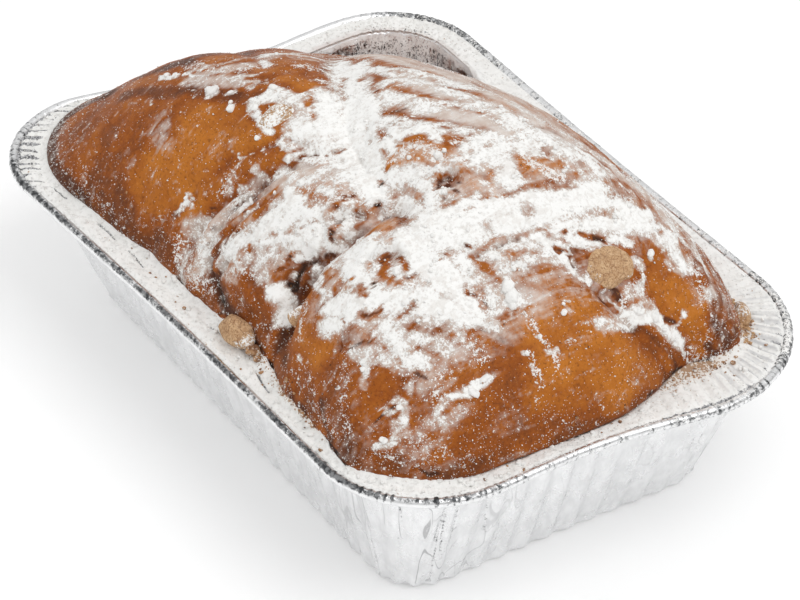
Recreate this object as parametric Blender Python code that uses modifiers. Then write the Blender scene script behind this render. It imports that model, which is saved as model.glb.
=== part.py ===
"""Sugar bread: a folded sweet loaf, risen high out of its own fluted foil tin.

Metres, +Z up, +X along the loaf.  The origin is the bottom centre of the
tin's bounding box, and the foot of the tin lies on z = 0.
"""
import math

import bmesh
import bpy
from mathutils import Quaternion, Vector, noise

# ---------------------------------------------------------------- dimensions
MM = 0.001
TIN_HEIGHT = 47.0 * MM          # table to the top of the rolled bead
FOIL = 0.5 * MM                 # sheet thickness, with the folds in it
BEAD_R = 1.4 * MM               # outer radius of the rolled bead
FLANGE_DROP = 1.0 * MM          # flange lies this far below the bead's top
FLANGE_W = 9.0 * MM             # bead's outer edge to the opening
FLUTE = 0.6 * MM                # half depth of the wall's flutes
WALL_BOW = 0.8 * MM             # the filled wall swells a little
SEAT_GAP = 0.35 * MM            # loaf to tin, and nut to loaf

# Corner circles (x, y, radius) of the bead's outer edge and of the foot, in
# order near, right, back, left.  The full tin is a little out of square.
RIM = ((73.1, -37.15, 32.0), (67.8, 33.7, 41.0), (-74.4, 44.3, 28.5), (-77.4, -43.1, 31.5))
FOOT = ((69.6, -37.8, 14.0), (66.6, 35.3, 17.0), (-70.0, 35.3, 17.0), (-70.0, -34.8, 17.0))
# How far each side is drawn in between its corners: right end, back, left end, front.
RIM_BOW = (2.0, 1.3, 3.2, 1.4)
FOOT_BOW = (0.4, 0.4, 0.4, 0.4)
# The crust's widest line, just above the flange, and its bows.
CRUST = ((69.4, -34.3, 29.1), (68.2, 36.9, 22.9), (-67.0, 35.6, 24.6), (-70.3, -33.8, 32.2))
CRUST_BOW = (-3.9, 0.9, -1.2, 5.1)
# Where that line stands out or falls in, as each fold of dough ends: plan
# centre, radius, how far out (mm).
CRUST_EDGE = ((79, -62, 7, 1.8), (45, -59, 6, 1.0), (23, -59, 7, -1.6), (-12, -59, 7, 1.6),
              (-30, -60, 5, -1.2), (92, 33, 8, -2.2), (90, 50, 8, 1.4), (97, 8, 9, 0.8))
# How far each side of the rim is sprung up in the middle.
RIM_SPRING = (0.5, 0.8, -1.5, -0.6)

# Points on a long side, a short side and a corner.  An even count of each
# keeps the flutes running in and out all the way round.
TIN_RING = (40, 20, 8)
LOAF_RING = (24, 16, 12)

# The loaf's crown above the rim, and how its height changes along and across.
CROWN = 47.0 * MM
ALONG, ACROSS, SKEW = (0.38, -0.49, 0.10), (-0.08, -0.32), 0.27
CROWN_POWER, EDGE_POWER = 2.5, 1.6
# Broad changes to that: plan centre, radius (mm), share of the crown.
HUMPS = ((-85, -30, 24, 0.16), (-88, 5, 24, 0.10), (-60, -5, 30, 0.05), (-30, 45, 26, -0.11),
         (62, 56, 22, -0.10), (85, 40, 22, -0.08))
# Corners the dough hasn't filled, where the crust lies lower: plan centre,
# radius, depth (mm).
SINKS = ((-92, 62, 26, 14.0), (96, 62, 24, 2.2))
CRUST_LIFT = 2.6 * MM           # the crust's widest line above the flange


# ------------------------------------------------------------------- outlines
def ring(corners, bows, counts, inset=0.0, spring=(0, 0, 0, 0)):
    """Points of a rounded outline through four corner circles, inset in metres.

    They run anticlockwise from the start of the right end, each with the
    direction pointing out and the lift of the rim there."""
    long_n, short_n, arc_n = counts
    pts = []
    for k in range(4):
        cx, cy, r = (c * MM for c in corners[k])
        nx, ny, nr = (c * MM for c in corners[(k + 1) % 4])
        turn = math.radians(-90 + 90 * k)
        for i in range(arc_n):
            a = turn + math.radians(90) * i / arc_n
            out = Vector((math.cos(a), math.sin(a)))
            pts.append((Vector((cx, cy)) + out * (r - inset), out, 0.0))
        a = turn + math.radians(90)
        out = Vector((math.cos(a), math.sin(a)))
        start = Vector((cx, cy)) + out * (r - inset)
        end = Vector((nx, ny)) + out * (nr - inset)
        n = short_n if k % 2 == 0 else long_n
        for i in range(n):
            t = i / n
            bell = math.sin(math.pi * t) ** 1.5
            pts.append((start.lerp(end, t) - out * bows[k] * MM * bell, out, spring[k] * MM * bell))
    return pts


def smooth(t):
    t = min(1.0, max(0.0, t))
    return t * t * (3 - 2 * t)


# ------------------------------------------------------------------ materials
def material(name, colour, roughness, metallic=0.0):
    mat = bpy.data.materials.new(name)
    mat.use_nodes = True
    shader = mat.node_tree.nodes["Principled BSDF"]
    shader.inputs["Base Color"].default_value = (*colour, 1.0)
    shader.inputs["Roughness"].default_value = roughness
    shader.inputs["Metallic"].default_value = metallic
    return mat


def add_object(name, bm, mat, home, recalculate=True):
    mesh = bpy.data.meshes.new(name)
    if recalculate:
        bmesh.ops.recalc_face_normals(bm, faces=bm.faces)
    bm.to_mesh(mesh)
    bm.free()
    obj = bpy.data.objects.new(name, mesh)
    home.objects.link(obj)
    if mat is not None:
        mesh.materials.append(mat)
    mesh.shade_smooth()
    return obj


# ------------------------------------------------------------------- the tin
def tin_stations():
    """Rings of the foil's inner face, from the floor up the wall and over the bead."""
    rings = []

    def blend(inset_foot, inset_rim, t, z, flute, bow=0.0, lift=0.0):
        foot = ring(FOOT, FOOT_BOW, TIN_RING, inset_foot)
        rim = ring(RIM, RIM_BOW, TIN_RING, inset_rim, RIM_SPRING)
        pts = []
        for i, (f, r) in enumerate(zip(foot, rim)):
            p = f[0].lerp(r[0], t)
            out = f[1].lerp(r[1], t).normalized()
            p = p + out * (flute * (1 if i % 2 else -1) + bow)
            pts.append(Vector((p.x, p.y, z + r[2] * lift)))
        rings.append(pts)

    opening = FLANGE_W + 0.8 * MM
    flange = TIN_HEIGHT - FLANGE_DROP
    blend(3.2 * MM, opening, 0.0, FOIL, 0.0)
    blend(FOIL + FLUTE, opening, 0.0, 2.6 * MM, FLUTE * 0.7)
    blend(FOIL + FLUTE, opening, 0.5, 0.5 * flange, FLUTE, WALL_BOW, 0.3)
    blend(FOIL + FLUTE, opening, 1.0, flange - 3.0 * MM, FLUTE * 0.6, 0.0, 1.0)
    blend(0.0, FLANGE_W - 1.0 * MM, 1.0, flange, 0.0, 0.0, 1.0)
    blend(0.0, 2 * BEAD_R + 1.0 * MM, 1.0, flange, 0.0, 0.0, 1.0)
    for degrees in (120, 55, -10, -90):
        a = math.radians(degrees)
        blend(0.0, BEAD_R * (1 - math.cos(a)), 1.0,
              TIN_HEIGHT - BEAD_R * (1 - math.sin(a)), 0.0, 0.0, 1.0)
    return rings


def make_tin(mat, home):
    bm = bmesh.new()
    rows = [[bm.verts.new(p) for p in pts] for pts in tin_stations()]
    n = len(rows[0])
    bm.faces.new(rows[0])
    for low, high in zip(rows, rows[1:]):
        for i in range(n):
            bm.faces.new((low[i], high[i], high[(i + 1) % n], low[(i + 1) % n]))
    tin = add_object("foil_tin", bm, mat, home)
    # Floor normal up: the sheet's thickness goes to the outside.
    mesh = tin.data
    if mesh.polygons[0].normal.z < 0:
        mesh.flip_normals()
    solid = tin.modifiers.new("foil", "SOLIDIFY")
    solid.thickness = FOIL
    solid.offset = -1.0
    solid.use_even_offset = True
    return tin


# ------------------------------------------------------------------- the loaf
def dome(x, y, q):
    """Height above the rim at plan (x, y), q being 0 at the middle and 1 at the edge."""
    u, v = (x + 4.4 * MM) / (99 * MM), (y - 0.85 * MM) / (64 * MM)
    h = 1 + ALONG[0] * u + ALONG[1] * u * u + ALONG[2] * u ** 3
    h += ACROSS[0] * v + ACROSS[1] * v * v + SKEW * u * v
    for cx, cy, r, share in HUMPS:
        h += share * math.exp(-((x / MM - cx) ** 2 + (y / MM - cy) ** 2) / r ** 2)
    return CROWN * h * max(0.0, 1 - q ** CROWN_POWER) ** (1 / EDGE_POWER)


def sink(x, y):
    return sum(depth * MM * math.exp(-((x / MM - cx) ** 2 + (y / MM - cy) ** 2) / r ** 2)
               for cx, cy, r, depth in SINKS)


# Creases where one fold of dough meets the next: plan points in millimetres,
# then depth and half width at the start and at the end.
CREASES = (
    ("left_to_middle", ((-12, -63), (-16, -57), (-13, -50), (-6, -43), (-1, -34), (8, -27)), (6.0, 4.2), (1.8, 5.0)),
    ("valley", ((-58, 14), (-36, 3), (-18, -7), (-2, -15), (14, -23), (30, -25)), (3.4, 10.0), (5.4, 9.0)),
    ("middle_to_front", ((33, -63), (31, -56), (31, -49), (33, -41), (36, -34), (37, -27)), (7.0, 4.6), (5.2, 6.0)),
    ("front_to_back", ((95, 27), (91, 22), (85, 15), (77, 8), (66, 3), (52, -4)), (5.0, 4.5), (1.2, 6.0)),
    ("left_shoulder", ((-100, -36), (-92, -24), (-78, -14), (-58, -12), (-38, -16)), (1.5, 4.5), (1.4, 5.0)),
)
# Swellings: plan centre, half lengths, turn in degrees, height (all in mm).
SWELLS = (
    ("left_fold", -58, -22, 30, 30, 0, 2.6),
    ("middle_fold", 10, -44, 17, 14, 40, 1.6),
    ("front_fold", 74, -28, 26, 30, 10, 1.6),
    ("front_lip", 88, -8, 9, 26, 0, 1.0),
    ("back_fold", 44, 24, 40, 26, 12, 1.0),
    ("brown_knob", 27, -8, 8, 7, 20, 1.2),
)


def segment(px, py, ax, ay, bx, by):
    dx, dy = bx - ax, by - ay
    t = max(0.0, min(1.0, ((px - ax) * dx + (py - ay) * dy) / (dx * dx + dy * dy)))
    return math.hypot(px - ax - t * dx, py - ay - t * dy), t


def relief(x, y):
    """How far the crust stands out of the plain dome at plan (x, y), in metres."""
    px, py = x / MM, y / MM
    d = 0.0
    for _, pts, start, end in CREASES:
        best, where = 1e9, 0.0
        for i in range(len(pts) - 1):
            dist, t = segment(px, py, *pts[i], *pts[i + 1])
            if dist < best:
                best, where = dist, (i + t) / (len(pts) - 1)
        depth = start[0] + (end[0] - start[0]) * where
        width = start[1] + (end[1] - start[1]) * where
        d -= depth * math.exp(-(best / width) ** 1.6)
    for _, cx, cy, rx, ry, turn, height in SWELLS:
        c, s = math.cos(math.radians(turn)), math.sin(math.radians(turn))
        ex = ((px - cx) * c + (py - cy) * s) / rx
        ey = (-(px - cx) * s + (py - cy) * c) / ry
        d += height * math.exp(-(ex * ex + ey * ey))
    d += 0.35 * noise.noise(Vector((px / 14, py / 14, 3.0)))
    return d * MM


def loaf_outline(inset, z_share):
    foot = ring(FOOT, FOOT_BOW, LOAF_RING, inset)
    rim = ring(RIM, RIM_BOW, LOAF_RING, FLANGE_W + 0.8 * MM + inset, RIM_SPRING)
    return [f[0].lerp(r[0], z_share) for f, r in zip(foot, rim)], [r[2] for r in rim]


def crust_outline(inset):
    pts = []
    for p, out, _ in ring(CRUST, CRUST_BOW, LOAF_RING, inset):
        for cx, cy, r, mm in CRUST_EDGE:
            d2 = (p.x / MM - cx) ** 2 + (p.y / MM - cy) ** 2
            p = p + out * mm * MM * math.exp(-d2 / r ** 2)
        pts.append(p)
    return pts


def make_loaf(mat, home):
    long_n, short_n, arc_n = LOAF_RING
    nx, ny = long_n + arc_n, short_n + arc_n
    flange = TIN_HEIGHT - FLANGE_DROP
    clear = FOIL + 2 * FLUTE + SEAT_GAP
    _, lifts = loaf_outline(0.0, 1.0)
    edge = crust_outline(0.0)
    total = len(edge)
    middle = Vector((-1.0 * MM, 0.5 * MM))

    bm = bmesh.new()
    bmesh.ops.create_grid(bm, x_segments=nx, y_segments=ny, size=1.0)
    rim_verts = {}
    spots = {}
    for v in bm.verts:
        u, w = v.co.x, v.co.y
        s = max(abs(u), abs(w))
        if s < 1e-6:
            spots[v] = (middle.copy(), 0.0, 0.0)
            continue
        bu, bw = u / s, w / s
        # How far round the square's edge, counted in grid steps from the near
        # right corner, which is the middle of the first corner arc.
        if bu > 0.999999:
            k = (bw + 1) / 2 * ny
        elif bw > 0.999999:
            k = ny + (1 - bu) / 2 * nx
        elif bu < -0.999999:
            k = ny + nx + (1 - bw) / 2 * ny
        else:
            k = 2 * ny + nx + (bu + 1) / 2 * nx
        k = (k + arc_n / 2) % total
        i = int(math.floor(k + 1e-6)) % total
        f = max(0.0, k - math.floor(k + 1e-6))
        outer = edge[i].lerp(edge[(i + 1) % total], f)
        lift = lifts[i] * (1 - f) + lifts[(i + 1) % total] * f
        q = 1 - (1 - s) ** 1.5
        spots[v] = (middle.lerp(outer, q), q, lift)
        if s > 0.999999:
            rim_verts[v] = i
    for v, (p, q, lift) in spots.items():
        v.co = (p.x, p.y, flange + CRUST_LIFT + lift * q + dome(p.x, p.y, q) - sink(p.x, p.y))
    bm.normal_update()
    for face in bm.faces:
        if face.normal.z < 0:
            face.normal_flip()
    bm.normal_update()
    moves = {}
    for v, (p, q, lift) in spots.items():
        fade = smooth((1 - q) / 0.10)
        moves[v] = v.normal * relief(p.x, p.y) * fade
    for v, m in moves.items():
        v.co += m

    # Down inside the tin: the dough has taken the tin's shape.
    def down(loop, pts, z, lift=0.0):
        made = bmesh.ops.extrude_edge_only(bm, edges=loop)["geom"]
        verts = [g for g in made if isinstance(g, bmesh.types.BMVert)]
        for v in verts:
            here = v.co.xy
            tag = min(range(total), key=lambda i: (last[i] - here).length_squared)
            v.co = (pts[tag].x, pts[tag].y, min(z + lift * lifts[tag], v.co.z - 0.8 * MM))
        return [g for g in made if isinstance(g, bmesh.types.BMEdge)
                and all(v in set(verts) for v in g.verts)], pts

    last = edge
    loop = [e for e in bm.edges if e.is_boundary]
    tucked = [a.lerp(b, 0.6) for a, b in zip(crust_outline(3.2 * MM), loaf_outline(clear + 2.0 * MM, 1.0)[0])]
    for pts, z, lift in (
            (tucked, flange + 0.7 * MM, 1.0),
            (loaf_outline(clear + 1.2 * MM, 0.97)[0], flange - 4.0 * MM, 0.0),
            (loaf_outline(clear, 0.5)[0], 0.5 * flange, 0.0),
            (loaf_outline(clear + 0.6 * MM, 0.0)[0], 4.2 * MM, 0.0),
            (loaf_outline(clear + 3.4 * MM, 0.0)[0], FOIL + SEAT_GAP, 0.0)):
        loop, last = down(loop, pts, z, lift)
    bmesh.ops.holes_fill(bm, edges=loop, sides=0)
    return add_object("loaf", bm, mat, home)


# ------------------------------------------------------------ pieces of nut
# Plan centre, how far the centre lies below the crust or else its height above
# the flange, half sizes, turn (mm, degrees). A flush one is tilted with the crust.
NUTS = (
    ("nut_front_side", 16.5, -60.5, ("flange", 4.2), 6.6, 3.5, 3.6, 5),
    ("nut_crevice", 34.8, -51.0, ("crust", -0.6), 3.6, 3.0, 3.2, 60),
    ("nut_right_top", 74.5, 19.3, ("flush", 1.9), 7.8, 6.0, 3.0, 90),
    ("nut_left_top", -15.8, -28.0, ("flush", 1.5), 5.6, 4.6, 2.7, 70),
    ("nut_right_end", 80.5, 57.8, ("flange", 3.2), 4.4, 2.4, 2.5, 157),
)


def nut_mesh(spec, grow, lean):
    name, x, y, sunk, rx, ry, rz, turn = spec
    bm = bmesh.new()
    bmesh.ops.create_uvsphere(bm, u_segments=10, v_segments=7, radius=1.0)
    seed = Vector((x, y, 0))
    c, s = math.cos(math.radians(turn)), math.sin(math.radians(turn))
    for v in bm.verts:
        n = v.co.normalized()
        swell = 1 + 0.10 * noise.noise(n * 1.3 + seed)
        px, py, pz = n.x * rx * swell + n.x * grow, n.y * ry * swell + n.y * grow, n.z * rz * swell + n.z * grow
        v.co = lean @ (Vector((px * c - py * s, px * s + py * c, pz)) * MM)
    return bm


def crust_at(loaf, x, y):
    """The crust over plan (x, y) and the way out of it, read from the loaf's own mesh."""
    hit, place, _, _ = loaf.ray_cast(Vector((x, y, 0.2)), Vector((0, 0, -1)))
    if not hit:
        return Vector((x, y, TIN_HEIGHT)), Vector((0, 0, 1))
    out = Vector((0, 0, 0))
    for dx, dy in ((0, 0), (3, 0), (-3, 0), (0, 3), (0, -3)):
        near, _, normal, _ = loaf.ray_cast(Vector((x + dx * MM, y + dy * MM, 0.2)), Vector((0, 0, -1)))
        if near:
            out += normal
    return place, out.normalized()


def main():
    for obj in list(bpy.data.objects):
        bpy.data.objects.remove(obj, do_unlink=True)
    scene = bpy.context.scene
    home = bpy.data.collections.new("sugar_bread")
    tools = bpy.data.collections.new("cutters")
    scene.collection.children.link(home)
    scene.collection.children.link(tools)

    crust = material("crust", (0.32, 0.12, 0.035), 0.55)
    foil = material("foil", (0.80, 0.81, 0.82), 0.32, 1.0)
    nut = material("nut", (0.62, 0.42, 0.24), 0.7)

    make_tin(foil, home)
    loaf = make_loaf(crust, home)
    bpy.context.view_layer.update()

    for spec in NUTS:
        name, x, y, (rests_on, level) = spec[:4]
        lean = Quaternion()
        place = Vector((x * MM, y * MM, TIN_HEIGHT - FLANGE_DROP + level * MM))
        if rests_on != "flange":
            place, out = crust_at(loaf, x * MM, y * MM)
            if rests_on == "flush":
                # Lies in the crust and follows its slope.
                lean = Vector((0, 0, 1)).rotation_difference(out)
            else:
                out = Vector((0, 0, 1))
            place = place - out * level * MM
        piece = add_object(name, nut_mesh(spec, 0.0, lean), nut, home, False)
        piece.location = place
        cutter = add_object(name + "_seat", nut_mesh(spec, SEAT_GAP / MM, lean), None, tools, False)
        cutter.location = piece.location
        cutter.hide_render = True
        cutter.display_type = "WIRE"
        cut = loaf.modifiers.new(name, "BOOLEAN")
        cut.operation = "DIFFERENCE"
        cut.solver = "EXACT"
        cut.object = cutter


main()
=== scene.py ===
import math

import bmesh
import bpy
import numpy as np
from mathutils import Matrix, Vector
from mathutils.bvhtree import BVHTree


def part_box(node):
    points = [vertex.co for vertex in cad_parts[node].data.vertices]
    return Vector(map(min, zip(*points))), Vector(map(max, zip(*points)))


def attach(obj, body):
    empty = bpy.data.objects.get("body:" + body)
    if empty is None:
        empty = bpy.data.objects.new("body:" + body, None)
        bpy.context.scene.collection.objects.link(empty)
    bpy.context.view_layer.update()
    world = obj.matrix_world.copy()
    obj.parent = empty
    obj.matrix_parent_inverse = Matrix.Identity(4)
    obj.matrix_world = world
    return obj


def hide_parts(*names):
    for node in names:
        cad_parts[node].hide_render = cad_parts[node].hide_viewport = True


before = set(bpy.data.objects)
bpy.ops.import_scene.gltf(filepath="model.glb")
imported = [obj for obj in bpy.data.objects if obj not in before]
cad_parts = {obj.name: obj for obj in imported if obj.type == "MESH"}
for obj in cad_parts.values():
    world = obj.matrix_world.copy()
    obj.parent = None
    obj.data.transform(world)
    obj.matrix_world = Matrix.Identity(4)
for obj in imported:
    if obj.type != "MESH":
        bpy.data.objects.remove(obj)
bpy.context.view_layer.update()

MM = 0.001
rng = np.random.default_rng(7)

# The same sizes as the solids', in millimetres.
TIN_H = 47.0
FLANGE = 46.0
BEAD_R = 1.4
FLANGE_W = 9.0
RIM = ((73.1, -37.15, 32.0), (67.8, 33.7, 41.0), (-74.4, 44.3, 28.5), (-77.4, -43.1, 31.5))
RIM_BOW = (2.0, 1.3, 3.2, 1.4)
RIM_SPRING = (0.5, 0.8, -1.5, -0.6)
FOOT = ((69.6, -37.8, 14.0), (66.6, 35.3, 17.0), (-70.0, 35.3, 17.0), (-70.0, -34.8, 17.0))
FOOT_BOW = (0.4, 0.4, 0.4, 0.4)
CRUST = ((69.4, -34.3, 29.1), (68.2, 36.9, 22.9), (-67.0, 35.6, 24.6), (-70.3, -33.8, 32.2))
CRUST_BOW = (-3.9, 0.9, -1.2, 5.1)
CRUST_EDGE = ((79, -62, 7, 1.8), (45, -59, 6, 1.0), (23, -59, 7, -1.6), (-12, -59, 7, 1.6),
              (-30, -60, 5, -1.2), (92, 33, 8, -2.2), (90, 50, 9, 3.2), (97, 8, 9, 0.8))
CRUST_Z = FLANGE + 2.6
CROWN = 47.0


# ------------------------------------------------------------------ helpers
def smooth(a, b, x):
    t = np.clip((x - a) / (b - a), 0.0, 1.0)
    return t * t * (3 - 2 * t)


def _hash(ix, iy, iz, seed):
    h = (ix.astype(np.int64) * 374761393 + iy.astype(np.int64) * 668265263
         + iz.astype(np.int64) * 2246822519 + seed * 3266489917) & 0xFFFFFFFF
    h ^= h >> 15
    h = (h * 2246822519) & 0xFFFFFFFF
    h ^= h >> 13
    h = (h * 3266489917) & 0xFFFFFFFF
    h ^= h >> 16
    return h


def gnoise(P, size, seed=0):
    """Gradient noise of about -1 to 1 at points P (n, 3), with features of that size in the same unit."""
    Q = np.asarray(P, float) / size
    F = np.floor(Q)
    I = F.astype(np.int64)
    f = Q - F
    w = f * f * f * (f * (f * 6 - 15) + 10)
    out = np.zeros(len(Q))
    for dx in (0, 1):
        wx = w[:, 0] if dx else 1 - w[:, 0]
        for dy in (0, 1):
            wy = w[:, 1] if dy else 1 - w[:, 1]
            for dz in (0, 1):
                wz = w[:, 2] if dz else 1 - w[:, 2]
                h = _hash(I[:, 0] + dx, I[:, 1] + dy, I[:, 2] + dz, seed)
                g = (((h & 1023) / 511.5 - 1) * (f[:, 0] - dx)
                     + (((h >> 10) & 1023) / 511.5 - 1) * (f[:, 1] - dy)
                     + (((h >> 20) & 1023) / 511.5 - 1) * (f[:, 2] - dz))
                out += wx * wy * wz * g
    return out * 1.5


def fbm(P, size, octaves=3, gain=0.5, seed=0):
    total, amp, norm = np.zeros(len(P)), 1.0, 0.0
    for k in range(octaves):
        total += amp * gnoise(P, size / 2 ** k, seed + 17 * k)
        norm += amp
        amp *= gain
    return total / norm


def outline(corners, bows, counts, inset=0.0, spring=(0, 0, 0, 0)):
    """Points (n, 2), outward directions (n, 2) and lifts (n) of a rounded outline, in millimetres."""
    long_n, short_n, arc_n = counts
    P, D, L = [], [], []
    for k in range(4):
        cx, cy, r = corners[k]
        nx, ny, nr = corners[(k + 1) % 4]
        turn = math.radians(-90 + 90 * k)
        a = turn + math.radians(90) * np.arange(arc_n) / arc_n
        d = np.stack([np.cos(a), np.sin(a)], 1)
        P.append(np.array([cx, cy]) + d * (r - inset))
        D.append(d)
        L.append(np.zeros(arc_n))
        o = np.array([math.cos(turn + math.pi / 2), math.sin(turn + math.pi / 2)])
        n = short_n if k % 2 == 0 else long_n
        t = (np.arange(n) / n)[:, None]
        start, end = np.array([cx, cy]) + o * (r - inset), np.array([nx, ny]) + o * (nr - inset)
        bell = np.sin(np.pi * t) ** 1.5
        P.append(start + (end - start) * t - o * bows[k] * bell)
        D.append(np.repeat(o[None], n, 0))
        L.append((spring[k] * bell)[:, 0])
    return np.concatenate(P), np.concatenate(D), np.concatenate(L)


def curve_points(pts, n=40):
    """A smooth run of n points through a few plan points."""
    p = np.array(pts, float)
    p = np.vstack([2 * p[0] - p[1], p, 2 * p[-1] - p[-2]])
    out = []
    for t in np.linspace(0, len(pts) - 1 - 1e-9, n):
        i = int(t)
        f = t - i
        a, b, c, d = p[i], p[i + 1], p[i + 2], p[i + 3]
        out.append(0.5 * ((2 * b) + (c - a) * f + (2 * a - 5 * b + 4 * c - d) * f * f
                          + (3 * b - a - 3 * c + d) * f ** 3))
    return np.array(out)


def along(XY, pts, n=40):
    """For plan points XY: signed distance to a curve (left is positive) and how far along it, 0 to 1."""
    c = curve_points(pts, n)
    best = np.full(len(XY), 1e9)
    sign = np.ones(len(XY))
    where = np.zeros(len(XY))
    for i in range(n - 1):
        a, d = c[i], c[i + 1] - c[i]
        rel = XY - a
        t = np.clip((rel @ d) / (d @ d), 0, 1)
        off = rel - t[:, None] * d
        dist = np.hypot(off[:, 0], off[:, 1])
        near = dist < best
        best = np.where(near, dist, best)
        sign = np.where(near, np.sign(d[0] * rel[:, 1] - d[1] * rel[:, 0]), sign)
        where = np.where(near, (i + t) / (n - 1), where)
    return best * sign, where


def patch(XY, cx, cy, rx, ry, turn=0.0):
    """Squared distance from an ellipse's centre, 1 at its edge."""
    c, s = math.cos(math.radians(turn)), math.sin(math.radians(turn))
    ex = ((XY[:, 0] - cx) * c + (XY[:, 1] - cy) * s) / rx
    ey = (-(XY[:, 0] - cx) * s + (XY[:, 1] - cy) * c) / ry
    return ex * ex + ey * ey


def mesh_object(name, verts, faces, mat=None, attrs=None, smooth_shade=True):
    """verts in millimetres."""
    mesh = bpy.data.meshes.new(name)
    mesh.from_pydata((np.asarray(verts) * MM).tolist(), [], [list(map(int, f)) for f in faces])
    mesh.update()
    if attrs:
        for key, values in attrs.items():
            a = mesh.attributes.new(key, "FLOAT", "POINT")
            a.data.foreach_set("value", np.asarray(values, dtype=np.float32))
    if smooth_shade:
        mesh.polygons.foreach_set("use_smooth", [True] * len(mesh.polygons))
    obj = bpy.data.objects.new(name, mesh)
    bpy.context.scene.collection.objects.link(obj)
    if mat:
        mesh.materials.append(mat)
    return obj


# ------------------------------------------------------------- crust geometry
STEP = 9
C_RING = (24 * STEP, 16 * STEP, 12 * STEP)
NX, NY = C_RING[0] + C_RING[2], C_RING[1] + C_RING[2]
MIDDLE = np.array([-1.0, 0.5])


# Broad changes to the dome: plan centre, radius, share of the crown's height.
HUMPS = ((-85, -30, 24, 0.16), (-88, 5, 24, 0.10), (-60, -5, 30, 0.05), (-30, 45, 26, -0.11),
         (62, 56, 22, -0.10), (85, 40, 22, -0.08))
# Where the whole crust, edge and all, lies lower: plan centre, radius, millimetres.
SINKS = ((-92, 62, 26, 14.0), (96, 62, 24, 2.2))


def dome(x, y, q):
    u, v = (x + 4.4) / 99, (y - 0.85) / 64
    h = 1 + 0.38 * u - 0.49 * u * u + 0.10 * u ** 3 - 0.08 * v - 0.32 * v * v + 0.27 * u * v
    for cx, cy, r, share in HUMPS:
        h = h + share * np.exp(-((x - cx) ** 2 + (y - cy) ** 2) / r ** 2)
    return CROWN * np.maximum(h, 0.05) * np.maximum(0.0, 1 - q ** 2.5) ** (1 / 1.6)


def sink(x, y):
    return sum(mm * np.exp(-((x - cx) ** 2 + (y - cy) ** 2) / r ** 2) for cx, cy, r, mm in SINKS) + 0.0 * x


# name: plan points, (depth, left width, right width) at the start and at the end, power of its section
CREASES = {
    "left_to_middle": (((-12, -64), (-16.5, -58), (-14.5, -51.5), (-8, -44.5), (-3, -38), (2, -30), (12, -26)),
                       (6.5, 3.2, 5.0), (1.2, 4.0, 3.5), 1.15),
    "valley": (((-62, 16), (-36, 3), (-18, -7), (-2, -15), (14, -23), (30, -25)),
               (3.0, 11.0, 9.0), (6.0, 11.0, 8.0), 1.7),
    "middle_to_front": (((33, -64), (31.5, -57), (30.5, -51), (32, -44), (34.5, -37), (36, -30), (39, -24)),
                        (8.0, 2.6, 4.2), (4.5, 3.0, 4.5), 1.05),
    "front_to_back": (((96, 28), (92, 23.5), (87, 18), (80, 11), (70, 5), (58, 0)),
                      (5.0, 2.4, 3.2), (0.8, 5.0, 4.0), 1.1),
    "left_shoulder": (((-101, -36), (-95, -22), (-82, -13), (-62, -12), (-40, -17)),
                      (1.6, 3.5, 5.0), (1.2, 4.0, 4.0), 1.3),
    "flap": (((-19, -41), (-14, -37), (-10, -34), (-6, -30), (-2, -29)), (1.3, 1.0, 2.6), (1.5, 1.2, 2.6), 1.1),
    "front_fold_top": (((60, -9), (61.5, -3), (61.5, 4), (63, 9)), (1.2, 1.6, 1.0), (1.2, 1.8, 1.0), 1.2),
    "base_crack": (((2, -66), (8, -61), (14, -59), (20, -58.5)), (1.5, 2.0, 2.0), (2.2, 2.0, 2.0), 1.2),
}
# plan centre, half sizes, turn, height
SWELLS = (
    (-58, -22, 30, 30, 0, 2.6), (10, -44, 17, 14, 40, 1.8), (74, -28, 26, 30, 10, 1.8),
    (88, -8, 9, 26, 0, 1.0), (44, 24, 40, 26, 12, 1.0), (27, -8, 8, 7, 20, 1.4),
    (14, -35, 9, 6, 35, 1.2), (45, -50, 9, 8, 60, 1.0), (46, 14, 9, 7, 10, 0.8), (-3, 2, 9, 8, 30, 0.9),
    (20, 22, 10, 7, -20, 0.6), (62, -44, 13, 9, 30, 0.8), (-18, -33, 6, 5, 40, 0.8), (5, -52, 9, 6, 20, 0.8),
)
# Burst bubbles in the crust: plan centre, radius, height of the arched lip, depth of its floor
BLISTERS = ((40.6, -9.2, 4.3, 1.9, 1.8), (50.6, -33.2, 3.8, 1.8, 1.4), (33.5, -29.0, 3.4, 1.6, 1.6), (27.5, -36.0, 3.0, 1.2, 1.3))
# Small holes: plan centre, half sizes, turn, depth
PITS = ((28.8, -51.5, 3.4, 1.7, 65, 4.5), (57.6, -53.2, 1.0, 0.8, 0, 1.6), (47.0, -38.0, 1.0, 0.7, 40, 1.4),
        (34.5, -38.5, 2.6, 1.1, 70, 2.6), (31.5, -33.0, 2.0, 1.0, 30, 2.0), (-47, -33, 0.5, 0.5, 0, 0.5),
        (49.5, -62.0, 1.6, 0.8, 20, 1.6), (81.5, 14.5, 2.2, 1.6, 60, 1.6), (66.0, -13.5, 1.6, 0.9, 40, 0.9))


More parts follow.
